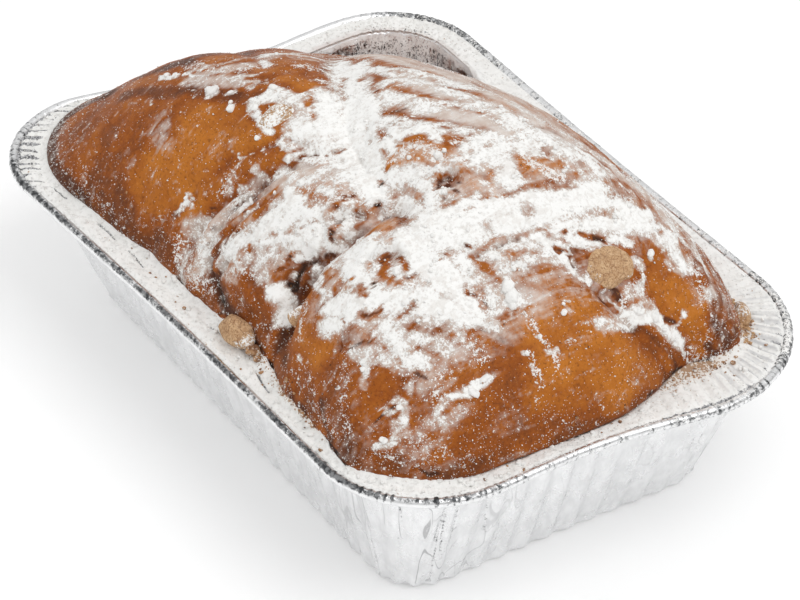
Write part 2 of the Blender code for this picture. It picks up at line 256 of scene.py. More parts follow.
# Folds cut into the crust (above 0) or standing out of it (below 0): depth, radius, run.
GROOVES = (
    (2.1, 1.7, ((15.1, -58.6, 48.1), (8.3, -58.2, 51.9), (0.9, -57.6, 54.8), (-4.8, -56.5, 57.9), (-7.4, -53.7, 62.8), (-7.7, -50.1, 67.1), (-5.6, -45.1, 71.9), (-2.3, -40.3, 77.2))),
    (1.6, 1.8, ((-3.2, -40.6, 77.3), (0.2, -35.3, 82.8), (6.3, -30.9, 86.3))),
    (3.6, 2.6, ((25.1, -48.9, 66.4), (25.6, -46.6, 70.6), (27.9, -43.0, 73.8))),
    (2, 1.6, ((28.6, -53.5, 58.6), (27.8, -49.9, 61.6), (27.0, -47.0, 64.9))),
    (1.6, 1.2, ((5.7, -57.7, 53.0), (1.6, -56.1, 55.8), (3.2, -55.5, 62.7))),
    (-1.3, 2.6, ((18.1, -56.8, 58.6), (12.7, -56.7, 62.7), (9.2, -55.5, 66.7))),
    (-1.2, 2.2, ((-6.3, -60.6, 48.0), (-5.8, -60.1, 51.2), (-8.9, -58.4, 56.2))),
    (-1, 2.0, ((31.0, -39.5, 80.4), (29.7, -38.4, 83.4))),
    (1.6, 1.4, ((29.3, -40.6, 78.1), (27.1, -38.9, 82.3), (27.3, -37.3, 83.4))),
    (-1.2, 2.4, ((30.6, -30.3, 85.5), (32.3, -26.6, 87.9), (34.2, -24.9, 89.5))),
    (1.4, 1.2, ((28.2, -35.3, 83.1), (29.7, -31.1, 85.7), (31.3, -30.8, 84.0))),
    (1.3, 0.9, ((64.3, -15.0, 85.8), (63.7, -8.6, 86.7), (64.5, -2.8, 87.0))),
    (-0.9, 1.8, ((65.9, -15.0, 85.8), (67.1, -9.3, 86.7), (68.4, -2.8, 86.4))),
    (0.8, 1.4, ((73.0, 7.6, 79.3), (70.6, 8.9, 81.4), (68.8, 13.3, 81.9), (68.2, 18.1, 80.9))),
    (1.2, 1.2, ((78.6, 13.0, 72.8), (78.8, 16.1, 73.0), (78.3, 19.3, 73.4))),
    (-0.8, 1.8, ((44.2, -50.6, 71.9), (45.7, -46.3, 77.0), (48.2, -43.9, 81.0))),
    (1.2, 1.1, ((43.0, -51.8, 70.4), (46.2, -47.9, 76.5), (46.2, -44.3, 78.9))),
    (0.9, 0.7, ((76.2, -25.9, 77.3), (80.1, -22.4, 75.0), (83.3, -19.6, 72.9))),
    (1, 0.8, ((58.6, -17.8, 87.5), (62.9, -15.7, 86.3), (65.0, -15.0, 85.5))),
    (0.8, 0.8, ((-15.5, -40.1, 78.8), (-12.4, -36.6, 82.1), (-8.3, -33.0, 85.0))),
    (-0.9, 1.6, ((-16.5, -39.1, 80.7), (-11.7, -35.3, 83.8), (-7.6, -31.5, 86.5))),
    (0.7, 0.7, ((-21.6, -33.1, 86.1), (-17.2, -32.1, 86.7), (-8.5, -31.8, 87.1))),
    (1, 1.0, ((-25.2, -55.1, 60.3), (-23.6, -53.3, 63.5), (-22.0, -50.1, 67.4))),
    (0.8, 0.9, ((-21.0, -50.6, 66.1), (-18.4, -51.3, 63.6), (-17.6, -52.8, 58.7))),
    (0.8, 1.0, ((-33.7, -21.6, 88.5), (-30.9, -20.8, 88.9), (-32.5, -24.6, 88.3))),
    (0.7, 0.7, ((30.6, 19.2, 96.4), (35.8, 25.0, 94.6), (40.6, 29.9, 91.6), (45.9, 36.5, 86.3))),
    (0.7, 0.7, ((2.1, 22.1, 91.9), (15.1, 24.4, 94.0), (24.3, 29.7, 91.8), (24.6, 35.8, 86.6))),
    (0.7, 0.7, ((-5.8, 21.0, 90.6), (1.3, 25.7, 89.8), (15.9, 28.8, 91.0))),
    (0.8, 0.9, ((-3.8, -13.3, 89.5), (7.8, -18.9, 88.5), (20.1, -21.5, 88.7))),
    (0.8, 0.9, ((1.2, -30.7, 85.5), (3.9, -26.9, 87.0), (10.3, -23.3, 87.2))),
    (0.7, 0.7, ((-7.9, -55.6, 61.6), (-8.3, -52.1, 65.3), (-7.9, -47.7, 69.3))),
    (0.7, 0.7, ((-4.2, -55.5, 58.3), (-0.5, -53.7, 66.9), (1.0, -49.3, 72.1))),
    (0.6, 0.6, ((3.1, -56.8, 59.6), (6.3, -53.9, 68.0), (7.2, -49.7, 72.6))),
)


def reach(P, pts):
    """How far each point of P is from a run of points, in three dimensions."""
    pts = np.array(pts, float)
    if len(pts) == 1:
        return np.linalg.norm(P - pts[0], axis=1)
    d = np.full(len(P), 1e9)
    for a, b in zip(pts[:-1], pts[1:]):
        ab = b - a
        t = np.clip(((P - a) @ ab) / max(ab @ ab, 1e-9), 0, 1)
        d = np.minimum(d, np.linalg.norm(P - a - t[:, None] * ab, axis=1))
    return d


def relief(P, q):
    """How far the crust stands out of the plain dome, in millimetres, at points P of it."""
    XY = P[:, :2]
    d = np.zeros(len(P))
    wob = np.stack([fbm(P, 9, 2, seed=5), fbm(P, 9, 2, seed=6)], 1) * 0.9
    W = XY + wob
    for pts, start, end, power in CREASES.values():
        sd, t = along(W, pts)
        depth = start[0] + (end[0] - start[0]) * t
        width = np.where(sd > 0, start[1] + (end[1] - start[1]) * t, start[2] + (end[2] - start[2]) * t)
        d -= depth * np.exp(-(np.abs(sd) / width) ** power)
    for cx, cy, rx, ry, turn, height in SWELLS:
        d += height * np.exp(-patch(XY, cx, cy, rx, ry, turn))
    # Arched lips on the side that faces the back left, with a hollow in front of them.
    for cx, cy, r, lip, floor in BLISTERS:
        rel = W - (cx, cy)
        dist = np.hypot(rel[:, 0], rel[:, 1]) / r
        back = (rel @ np.array([-0.85, 0.53])) / (r * np.maximum(dist, 0.05))
        arch = np.exp(-((dist - 0.85) / 0.28) ** 2) * smooth(-0.35, 0.35, back)
        hollow = np.exp(-patch(W, cx + 0.17 * r, cy - 0.11 * r, 0.62 * r, 0.62 * r) ** 1.5)
        d += lip * arch - floor * hollow
    for cx, cy, rx, ry, turn, depth in PITS:
        d -= depth * np.exp(-patch(W, cx, cy, rx, ry, turn) ** 1.3)
    # Pleats on the left slope of the middle fold.
    sd, t = along(W, CREASES["left_to_middle"][0])
    side = smooth(1.5, 4, -sd) * (1 - smooth(12, 19, -sd)) * smooth(0.05, 0.2, t) * (1 - smooth(0.6, 0.85, t))
    d += 0.5 * side * np.sin(2 * np.pi * (sd + 0.9 * fbm(P, 8, 2, seed=31)) / 2.9)
    # Wrinkles along the back edge.
    edge = smooth(18, 44, P[:, 1]) * smooth(-45, -10, P[:, 0])
    d += 0.22 * edge * np.sin(2 * np.pi * (0.55 * P[:, 2] - 0.30 * P[:, 1] + 1.6 * fbm(P, 16, 2, seed=41)) / 2.4)
    # Skin: broad dimples, then finer ones; more of it in the rough middle.
    rough = np.exp(-patch(XY, 30, -8, 52, 30, 12))
    d += 0.55 * fbm(P, 15, 2, seed=1) + (0.18 + 0.75 * rough) * fbm(P * (1, 1, 1), 6.0, 3, seed=2)
    d += (0.05 + 0.30 * rough) * fbm(P, 2.2, 2, seed=3)
    # Faint folds down the sides of the smooth left fold.
    left = np.exp(-patch(XY, -55, -25, 40, 45))
    d += 0.30 * left * gnoise(P * (1, 0.28, 0.28), 5.0, 8)
    bent = P + np.stack([fbm(P, 7, 2, seed=k) for k in (11, 12, 13)], 1) * 0.8
    for depth, r, pts in GROOVES:
        pts = np.array(pts)
        # The runs lie on the finished crust, so they are brought out to this smooth one first.
        near = ((P - pts.mean(0)) ** 2).sum(1) < (np.ptp(pts, axis=0).max() + 14) ** 2
        k = np.array([np.argmin(((P[near] - p) ** 2).sum(1)) for p in pts])
        runs = P[near][k]
        d[near] -= depth * np.exp(-(reach(bent[near], runs) / r) ** 1.4)
    return d


def grid_outline():
    """The grid's edge points as they lie round the loaf."""
    edge, out, _ = outline(CRUST, CRUST_BOW, C_RING)
    for cx, cy, r, mm in CRUST_EDGE:
        edge = edge + out * mm * np.exp(-((edge - (cx, cy)) ** 2).sum(1) / r ** 2)[:, None]
    _, _, lift = outline(RIM, RIM_BOW, C_RING, FLANGE_W + 0.8, RIM_SPRING)
    return edge, out, lift


def build_crust():
    edge, out, lift = grid_outline()
    total = len(edge)
    arc = C_RING[2]
    gu, gv = np.meshgrid(np.linspace(-1, 1, NX + 1), np.linspace(-1, 1, NY + 1), indexing="ij")
    u, v = gu.ravel(), gv.ravel()
    s = np.maximum(np.abs(u), np.abs(v))
    ss = np.maximum(s, 1e-9)
    bu, bv = u / ss, v / ss
    k = np.where(bu > 0.999999, (bv + 1) / 2 * NY,
                 np.where(bv > 0.999999, NY + (1 - bu) / 2 * NX,
                          np.where(bu < -0.999999, NY + NX + (1 - bv) / 2 * NY, 2 * NY + NX + (bu + 1) / 2 * NX)))
    k = (k + arc / 2) % total
    i = np.floor(k + 1e-6).astype(int) % total
    f = np.clip(k - np.floor(k + 1e-6), 0, 1)
    outer = edge[i] * (1 - f)[:, None] + edge[(i + 1) % total] * f[:, None]
    lifts = lift[i] * (1 - f) + lift[(i + 1) % total] * f
    q = 1 - (1 - s) ** 1.5
    plan = MIDDLE + (outer - MIDDLE) * q[:, None]
    z = CRUST_Z + lifts * q + dome(plan[:, 0], plan[:, 1], q) - sink(plan[:, 0], plan[:, 1])
    P = np.column_stack([plan, z])
    G = P.reshape(NX + 1, NY + 1, 3)
    N = np.cross(np.gradient(G, axis=0), np.gradient(G, axis=1)).reshape(-1, 3)
    N /= np.linalg.norm(N, axis=1)[:, None] + 1e-12
    # On the very edge the dome is upright, so the direction is outward there.
    w = smooth(0.90, 1.0, q)[:, None]
    side = np.zeros_like(N)
    o = out[i] * (1 - f)[:, None] + out[(i + 1) % total] * f[:, None]
    side[:, :2] = o
    N = N * (1 - w) + side * w
    N /= np.linalg.norm(N, axis=1)[:, None] + 1e-12
    d = relief(P, q)
    fade = smooth(0, 0.06, 1 - q)
    d = d * (0.25 + 0.75 * fade)
    verts = P + N * d[:, None]
    # What stands out of its surroundings, for painted light and shade in the colour.
    D = d.reshape(NX + 1, NY + 1)
    mean = D.copy()
    for axis in (0, 1):
        mean = sum(np.roll(mean, k, axis) for k in range(-7, 8)) / 15
    fine = (D - mean).ravel()

    index = np.arange((NX + 1) * (NY + 1)).reshape(NX + 1, NY + 1)
    quads = np.stack([index[:-1, :-1], index[1:, :-1], index[1:, 1:], index[:-1, 1:]], -1).reshape(-1, 4)
    # The edge loop, in the ring's own order.
    loop = np.concatenate([index[-1, :-1], index[::-1, -1][:-1], index[0, ::-1][:-1], index[:-1, 0]])
    loop_tag = (np.arange(total) + arc // 2) % total
    order = np.argsort(loop_tag)
    loop = loop[order]

    # Tucked under at the flange, then down inside the tin.
    opening, _, _ = outline(RIM, RIM_BOW, C_RING, FLANGE_W + 0.8 + 3.6)
    foot, _, _ = outline(FOOT, FOOT_BOW, C_RING, 2.2)
    base = verts[loop]
    rows = []
    for t in (0.25, 0.5, 0.75, 1.0):
        # A quarter turn under the crust's edge.
        a = t * math.pi / 2
        inset = 2.6 * (1 - math.cos(a))
        drop = 2.3 * math.sin(a)
        xy = base[:, :2] - out * inset
        rows.append(np.column_stack([xy, base[:, 2] - drop]))
    under = np.minimum(FLANGE - 5, rows[3][:, 2] - 1.5)
    for t in (0.4, 1.0):
        xy = rows[3][:, :2] * (1 - t) + opening * t
        rows.append(np.column_stack([xy, rows[3][:, 2] * (1 - t) + under * t]))
    for t in (0.35, 0.7, 0.92, 1.0):
        xy = opening * (1 - t) + foot * t
        zz = under * (1 - t) + 1.2 * t
        xy = xy - out * (3.0 if t == 1.0 else 0.0)
        rows.append(np.column_stack([xy, zz]))
    all_verts, faces, last = [verts], [quads], loop
    start = len(verts)
    for row in rows:
        ids = start + np.arange(total)
        # Rings are seen from outside: last ring above, this one below.
        faces.append(np.stack([last, ids, np.roll(ids, -1), np.roll(last, -1)], -1))
        all_verts.append(row)
        start += total
        last = ids
    V = np.concatenate(all_verts)
    Fq = np.concatenate(faces).tolist()
    Fq.append(last[::-1].tolist())
    info = {"fine": np.concatenate([fine, np.zeros(len(V) - len(verts))]), "top": len(verts)}
    return V, Fq, info


# ------------------------------------------------- where sugar and colour lie
# Sugar lying on the crust: how thick and unbroken, brush radius, and the run it follows over the crust.
WHITE = (
    (0.62, 3.8, ((-13, 7, 93), (4, 11, 96), (20, 13, 98), (32, 18, 97), (44, 23, 94), (53, 27, 90), (58, 33, 86))),
    (0.8, 2.4, ((37, 15, 97), (42, 25, 94), (47, 30, 90), (52, 34, 87))),
    (0.9, 2.7, ((37, 2, 98), (43, 5, 96), (48, 4, 95))),
    (1, 3.8, ((-26, 2, 87), (-9, -7, 91), (1, -12, 91), (7, -17, 90), (16, -20, 89), (32, -26, 89))),
    (1, 2.7, ((-2, -19, 90), (8, -21, 89), (12, -21, 88))),
    (1, 3.2, ((-3, -25, 90), (-4, -17, 90))),
    (1, 3.2, ((-13, -14, 91), (-2, -21, 90))),
    (0.9, 2.2, ((-38, 7, 81), (-30, 0, 85))),
    (0.9, 1.6, ((-4, -28, 87), (3, -26, 88), (9, -23, 87))),
    (1, 1.9, ((10, -10, 95), (19, -11, 97), (23, -6, 99), (28, -5, 98))),
    (1, 2.4, ((0, -7, 94), (12, -15, 92), (24, -20, 90))),
    (0.9, 2.7, ((29, -19, 91), (34, -15, 93), (40, -15, 93))),
    (0.95, 2.2, ((38, -21, 89), (47, -20, 91), (51, -21, 90))),
    (0.9, 2.4, ((40, -3, 97), (35, -2, 98), (34, 4, 98))),
    (1, 2.2, ((49, 1, 94), (46, 6, 96), (43, 7, 96))),
    (1, 1.1, ((-26, -28, 88), (-24, -25, 89), (-21, -23, 90))),
    (1, 0.8, ((-27, -29, 88), (-24, -32, 87), (-20, -32, 87))),
    (1, 1.1, ((-25, -29, 88), (-21, -31, 87), (-16, -32, 87), (-12, -32, 87))),
    (0.85, 0.8, ((-8, -31, 87), (-7, -28, 89), (-11, -24, 90), (-16, -21, 91))),
    (0.9, 1.3, ((-12, -23, 91), (-8, -26, 90), (-6, -28, 88))),
    (0.9, 1.3, ((-26, -23, 90), (-24, -22, 90))),
    (0.7, 1.6, ((-17, -20, 91), (-16, -17, 91), (-17, -14, 91))),
    (1, 1.1, ((-67, -35, 75), (-64, -34, 76), (-61, -33, 78))),
    (0.9, 0.5, ((-59, -32, 79), (-54, -31, 81), (-50, -29, 83))),
    (0.6, 0.5, ((-54, -25, 82), (-53, -24, 83))),
    (0.55, 0.8, ((-60, -26, 80), (-54, -27, 82), (-49, -27, 84))),
    (0.45, 1.3, ((-55, -34, 79), (-50, -32, 82))),
    (0.6, 1.3, ((-42, -28, 86), (-39, -24, 87), (-38, -23, 88))),
    (0.8, 0.7, ((-47, -21, 85), (-44, -20, 86))),
    (0.8, 1.3, ((-44, -16, 86), (-40, -16, 87))),
    (0.85, 1.6, ((-51, -13, 83), (-47, -10, 85), (-46, -6, 84))),
    (0.6, 1.3, ((-48, -4, 83), (-56, 10, 72))),
    (0.8, 0.8, ((-36, -27, 87), (-33, -24, 88))),
    (0.8, 0.8, ((-33, -22, 89), (-29, -23, 90))),
    (1, 1.7, ((-42, -33, 83), (-40, -33, 84))),
    (1, 0.6, ((-40, -35, 83), (-41, -35, 83))),
    (1, 1.2, ((-30, -34, 85),)),
    (1, 0.8, ((-35, -32, 86), (-34, -30, 87))),
    (1, 0.7, ((-32, -33, 85),)),
    (1, 0.9, ((-14, -35, 86),)),
    (0.95, 0.4, ((-49, -36, 81), (-47, -35, 81))),
    (0.8, 0.3, ((-92, -41, 56), (-86, -41, 60))),
    (0.5, 0.7, ((-68, -48, 67), (-68, -49, 67))),
    (0.5, 0.6, ((-60, -41, 74), (-58, -43, 74))),
    (1, 0.4, ((-19, -40, 80), (-16, -40, 80), (-14, -39, 80), (-12, -37, 82), (-10, -34, 84))),
    (1, 0.7, ((-8, -33, 86), (-5, -30, 87))),
    (0.95, 1.1, ((-2, -33, 85), (-1, -30, 86), (2, -28, 86))),
    (0.75, 1.9, ((0, -30, 85), (7, -29, 88), (13, -25, 88), (21, -26, 89))),
    (0.55, 1.6, ((-1, -35, 82), (10, -36, 87), (14, -32, 88))),
    (0.85, 1.9, ((11, -30, 88), (17, -27, 89))),
    (0.85, 0.6, ((-10, -45, 71), (-6, -44, 74), (-5, -42, 75))),
    (0.95, 0.7, ((-4, -46, 73), (-1, -45, 76), (-1, -45, 76))),
    (0.95, 0.7, ((1, -48, 74), (3, -46, 77), (4, -44, 79))),
    (0.9, 0.9, ((5, -53, 70), (5, -52, 72), (6, -49, 74), (7, -47, 76))),
    (0.6, 1.1, ((-11, -48, 68), (-10, -46, 70))),
    (0.66, 2.7, ((-16, -51, 62), (-8, -54, 62), (-7, -55, 60))),
    (0.55, 2.2, ((-8, -58, 57), (-4, -58, 56))),
    (0.3, 1.6, ((-14, -44, 75), (-12, -45, 74), (-14, -47, 70))),
    (0.5, 1.3, ((-8, -40, 80), (-6, -39, 78), (-7, -41, 76), (-9, -44, 73))),
    (0.8, 0.5, ((-10, -44, 74), (-8, -42, 76), (-6, -39, 78))),
    (0.95, 0.5, ((-24, -51, 67), (-23, -50, 67), (-21, -52, 65))),
    (0.95, 0.5, ((-24, -51, 67), (-24, -53, 64), (-25, -55, 61), (-23, -55, 61))),
    (0.6, 0.8, ((-24, -53, 63), (-23, -52, 65))),
    (1, 2.4, ((11, -40, 84), (15, -42, 82), (16, -45, 78), (12, -47, 76))),
    (1, 2.4, ((12, -49, 75), (9, -51, 72))),
    (1, 2.2, ((15, -40, 84), (21, -40, 83), (21, -43, 80))),
    (1, 2.2, ((25, -42, 80), (28, -42, 78), (26, -43, 76))),
    (0.95, 1.5, ((18, -35, 87), (21, -33, 88))),
    (1, 1.6, ((27, -35, 85), (28, -32, 87))),
    (0.95, 1.3, ((24, -45, 75), (26, -43, 76), (29, -40, 79))),
    (1, 1.1, ((23, -47, 73), (26, -44, 73), (28, -42, 76))),
    (0.7, 1.6, ((6, -53, 68), (12, -53, 68))),
    (0.8, 1.3, ((7, -55, 67), (11, -56, 66))),
    (0.45, 2.2, ((17, -52, 68), (20, -53, 65))),
    (1, 1.9, ((23, -51, 65), (25, -52, 64))),
    (0.9, 0.8, ((26, -54, 60), (28, -55, 58))),
    (0.9, 1.3, ((24, -49, 67), (24, -48, 69))),
    (0.8, 1.3, ((31, -37, 83), (33, -35, 81), (36, -38, 80))),
    (1, 3.8, ((59, -6, 90), (60, 6, 89), (60, 19, 88), (57, 24, 88))),
    (1, 2.7, ((65, 22, 83), (67, 33, 80), (64, 38, 80))),
    (0.9, 2.2, ((68, 39, 77), (72, 38, 75))),
    (1, 3.2, ((52, -19, 91), (54, -11, 92), (56, -4, 92))),
    (1, 3.2, ((51, -31, 88), (55, -22, 89), (58, -14, 89))),
    (1, 2.7, ((66, 2, 86), (70, 6, 83), (74, 7, 80))),
    (1, 1.3, ((75, 6, 80), (72, 6, 81))),
    (1, 0.7, ((31, 17, 97), (31, 21, 96), (32, 23, 96))),
    (0.6, 1.6, ((68, 39, 77), (73, 40, 73), (78, 42, 69))),
    (0.35, 1.1, ((77, 43, 69), (79, 43, 67))),
    (0.6, 1.3, ((76, 37, 72), (78, 38, 70))),
    (1, 4.8, ((57, -29, 86), (64, -27, 85), (69, -24, 83))),
    (1, 4.0, ((63, -38, 81), (69, -33, 80), (74, -27, 79))),
    (1, 3.8, ((45, -42, 81), (55, -43, 81), (54, -48, 76))),
    (1, 2.4, ((50, -52, 71), (54, -50, 74))),
    (0.95, 3.2, ((65, -44, 76), (71, -44, 74))),
    (0.9, 2.7, ((75, -43, 72), (76, -41, 72))),
    (0.75, 2.2, ((76, -35, 75), (78, -30, 76))),
    (0.9, 2.2, ((72, -23, 81), (76, -25, 78), (79, -21, 76))),
    (0.9, 2.7, ((62, -20, 87), (66, -20, 85))),
    (1, 1.6, ((67, -11, 87), (64, -12, 86))),
    (0.8, 1.6, ((35, -43, 77), (39, -40, 81))),
    (0.8, 1.3, ((29, -44, 67), (34, -45, 73), (39, -47, 75))),
    (0.8, 1.9, ((75, -44, 71), (79, -41, 71))),
    (0.9, 1.2, ((67, -52, 69), (69, -53, 67))),
    (0.45, 1.6, ((69, -54, 66), (71, -55, 65))),
    (0.4, 2.4, ((78, -36, 74), (80, -33, 73))),
    (0.4, 1.9, ((79, -14, 78), (80, -18, 77))),
    (1, 2.3, ((74, -13, 81), (77, -13, 80))),
    (1, 1.1, ((70, -8, 84), (71, -6, 84))),
    (0.9, 1.1, ((72, -12, 83), (73, -12, 83))),
    (0.7, 0.5, ((81, -12, 77), (83, -12, 75))),
    (0.8, 0.8, ((86, -11, 73),)),
    (0.8, 0.9, ((88, -16, 71),)),
    (0.7, 0.6, ((90, -16, 68), (92, -16, 66))),
    (0.75, 0.8, ((89, -11, 71), (89, -8, 70))),
    (0.7, 0.6, ((92, -11, 67),)),
    (0.95, 1.1, ((84, -1, 76),)),
    (0.8, 0.4, ((82, -1, 77), (82, 1, 77))),
    (0.7, 0.4, ((93, -16, 64),)),
    (1, 0.8, ((87, 2, 72), (87, 5, 71), (87, 9, 71))),
    (1, 1.1, ((88, 9, 69), (87, 14, 67), (85, 19, 65))),
    (1, 1.6, ((84, 17, 68), (85, 21, 66), (85, 26, 63))),
    (1, 1.2, ((84, 26, 65), (86, 28, 62))),
    (0.95, 0.8, ((86, 27, 62), (87, 30, 58), (88, 32, 55))),
    (0.8, 0.5, ((88, 32, 54), (89, 33, 51))),
    (0.95, 0.7, ((86, 32, 59), (85, 35, 60), (85, 35, 62))),
    (0.9, 1.1, ((83, 23, 68), (83, 20, 68))),
    (0.7, 1.1, ((79, 26, 71), (81, 24, 70))),
    (1, 0.8, ((75, 10, 79), (78, 10, 76), (78, 13, 73))),
    (1, 1.3, ((77, 10, 76),)),
    (0.95, 0.5, ((79, 14, 73), (80, 15, 71), (82, 16, 69))),
    (0.3, 1.3, ((89, 34, 48), (90, 37, 48), (91, 41, 48), (92, 45, 47))),
    (1, 1.3, ((88, -28, 68), (88, -32, 67), (89, -35, 66))),
    (1, 1.0, ((89, -36, 66), (87, -39, 65))),
    (0.58, 1.3, ((87, -41, 65), (88, -43, 63), (91, -43, 61))),
    (0.45, 1.3, ((90, -38, 64),)),
    (0.5, 1.9, ((61, -52, 71), (65, -51, 71))),
    (0.4, 1.6, ((74, -47, 69), (77, -45, 69))),
    (0.75, 1.6, ((80, -50, 64), (82, -49, 63), (84, -51, 60))),
    (0.7, 1.1, ((79, -54, 61), (80, -52, 62))),
    (0.85, 1.1, ((83, -58, 55), (84, -55, 56), (85, -53, 58))),
    (0.58, 1.9, ((83, -53, 60), (85, -51, 59))),
    (0.5, 1.3, ((79, -46, 67), (80, -47, 66))),
    (0.6, 0.8, ((45, -58, 60), (47, -59, 60))),
    (0.6, 0.8, ((44, -57, 63),)),
    (0.6, 0.8, ((50, -58, 61),)),
)
# Where it was dusted over broad parts.
HAZE = (
    (0.95, 6.5, ((-32, 4, 84), (-4, -10, 91), (7, -18, 89), (23, -23, 89))),
    (0.92, 4.8, ((-7, -26, 90), (2, -23, 90), (10, -23, 88), (23, -26, 89))),
    (0.9, 3.8, ((1, -27, 88), (16, -26, 88))),
    (0.9, 4.8, ((-14, -13, 91), (-1, -19, 90))),
    (0.85, 3.0, ((-6, 0, 95), (3, 9, 96), (19, 14, 98), (38, 21, 96), (50, 29, 90), (60, 35, 83))),
    (0.85, 3.2, ((-20, 5, 90), (-6, 11, 94), (8, 18, 95))),
    (0.8, 3.5, ((1, -4, 95), (13, 1, 98), (19, 9, 98), (30, 16, 97), (41, 22, 95))),
    (0.8, 3.2, ((10, -10, 95), (24, -4, 99), (26, 1, 98), (36, 9, 98))),
    (0.9, 3.8, ((25, -21, 90), (36, -12, 95), (39, -2, 97), (40, 8, 97), (43, 23, 94), (53, 30, 89))),
    (0.9, 3.8, ((48, 2, 94), (44, 6, 96), (51, 3, 94))),
    (0.97, 4.8, ((49, -32, 89), (50, -16, 92), (55, -3, 92), (59, 13, 90), (59, 26, 87), (66, 34, 81))),
    (0.9, 3.2, ((36, -21, 88), (47, -20, 91), (40, -15, 93))),
    (0.92, 3.5, ((65, 9, 86), (65, 22, 83), (67, 33, 80), (71, 39, 75), (78, 41, 69))),
    (0.92, 4.8, ((40, -40, 82), (49, -32, 88), (55, -22, 89), (58, -13, 89))),
    (0.96, 7.0, ((58, -29, 86), (67, -26, 84), (73, -21, 80))),
    (0.94, 5.4, ((48, -49, 75), (59, -42, 80), (68, -34, 81), (74, -27, 80))),
    (0.75, 3.8, ((51, -53, 71), (63, -46, 75), (73, -37, 77), (78, -34, 75))),
    (0.92, 3.8, ((2, -55, 66), (9, -50, 73), (13, -42, 82), (23, -39, 84), (28, -40, 80))),
    (0.92, 3.8, ((15, -50, 72), (24, -45, 77), (25, -40, 83))),
    (0.8, 2.7, ((-7, -48, 69), (-2, -44, 76), (-5, -40, 77))),
    (0.6, 3.0, ((-18, -52, 60), (-8, -57, 59), (-6, -54, 64))),
    (0.72, 2.4, ((-1, -36, 81), (10, -36, 87), (17, -31, 89), (24, -30, 88))),
    (0.95, 3.0, ((23, -53, 64), (26, -51, 63), (28, -53, 60))),
    (0.6, 2.4, ((29, -44, 69), (35, -43, 77), (39, -38, 82))),
    (0.85, 2.4, ((-26, -29, 88), (-23, -24, 90), (-13, -22, 91), (-9, -19, 91), (-13, -13, 91))),
    (0.6, 2.7, ((-30, -3, 86), (-16, -8, 90), (-22, -3, 88))),
    (0.5, 2.4, ((-48, -14, 85), (-44, -4, 84), (-42, 8, 79))),
    (0.45, 1.9, ((-55, -34, 79), (-41, -28, 86), (-33, -25, 88))),
    (0.45, 1.6, ((-60, -30, 79), (-53, -22, 83), (-51, -16, 83))),
    (0.85, 2.4, ((64, -14, 86), (66, -4, 87), (70, 6, 83), (75, 9, 78))),
    (0.55, 3.8, ((68, -12, 86), (73, -6, 83), (78, -11, 80))),
    (0.6, 3.2, ((69, -19, 84), (76, -20, 79), (76, -26, 78))),
    (0.2, 2.7, ((-16, -44, 75), (-17, -47, 71), (-13, -44, 75))),
    (0.36, 3.2, ((-14, -57, 55), (-14, -60, 49), (-5, -59, 54))),
    (0.4, 3.2, ((2, -56, 61), (10, -57, 63), (12, -53, 68))),
    (0.5, 2.7, ((16, -52, 68), (21, -53, 65), (18, -53, 66))),
    (0.55, 2.7, ((58, 26, 87), (62, 34, 83), (68, 36, 79))),
    (0.6, 2.2, ((72, 23, 78), (71, 15, 81), (75, 28, 74))),
    (0.5, 2.4, ((88, 6, 71), (85, 18, 64), (85, 13, 69))),
    (0.9, 1.9, ((84, 17, 68), (85, 26, 64), (88, 32, 55))),
    (0.5, 2.2, ((81, 21, 71), (82, 23, 69), (84, 25, 66))),
    (0.12, 4.3, ((87, -48, 60), (81, -48, 64), (83, -39, 69))),
    (0.27, 4.8, ((89, -37, 65), (90, -47, 58), (87, -54, 55))),
    (0.5, 2.7, ((62, -52, 71), (68, -50, 70), (71, -45, 72))),
)
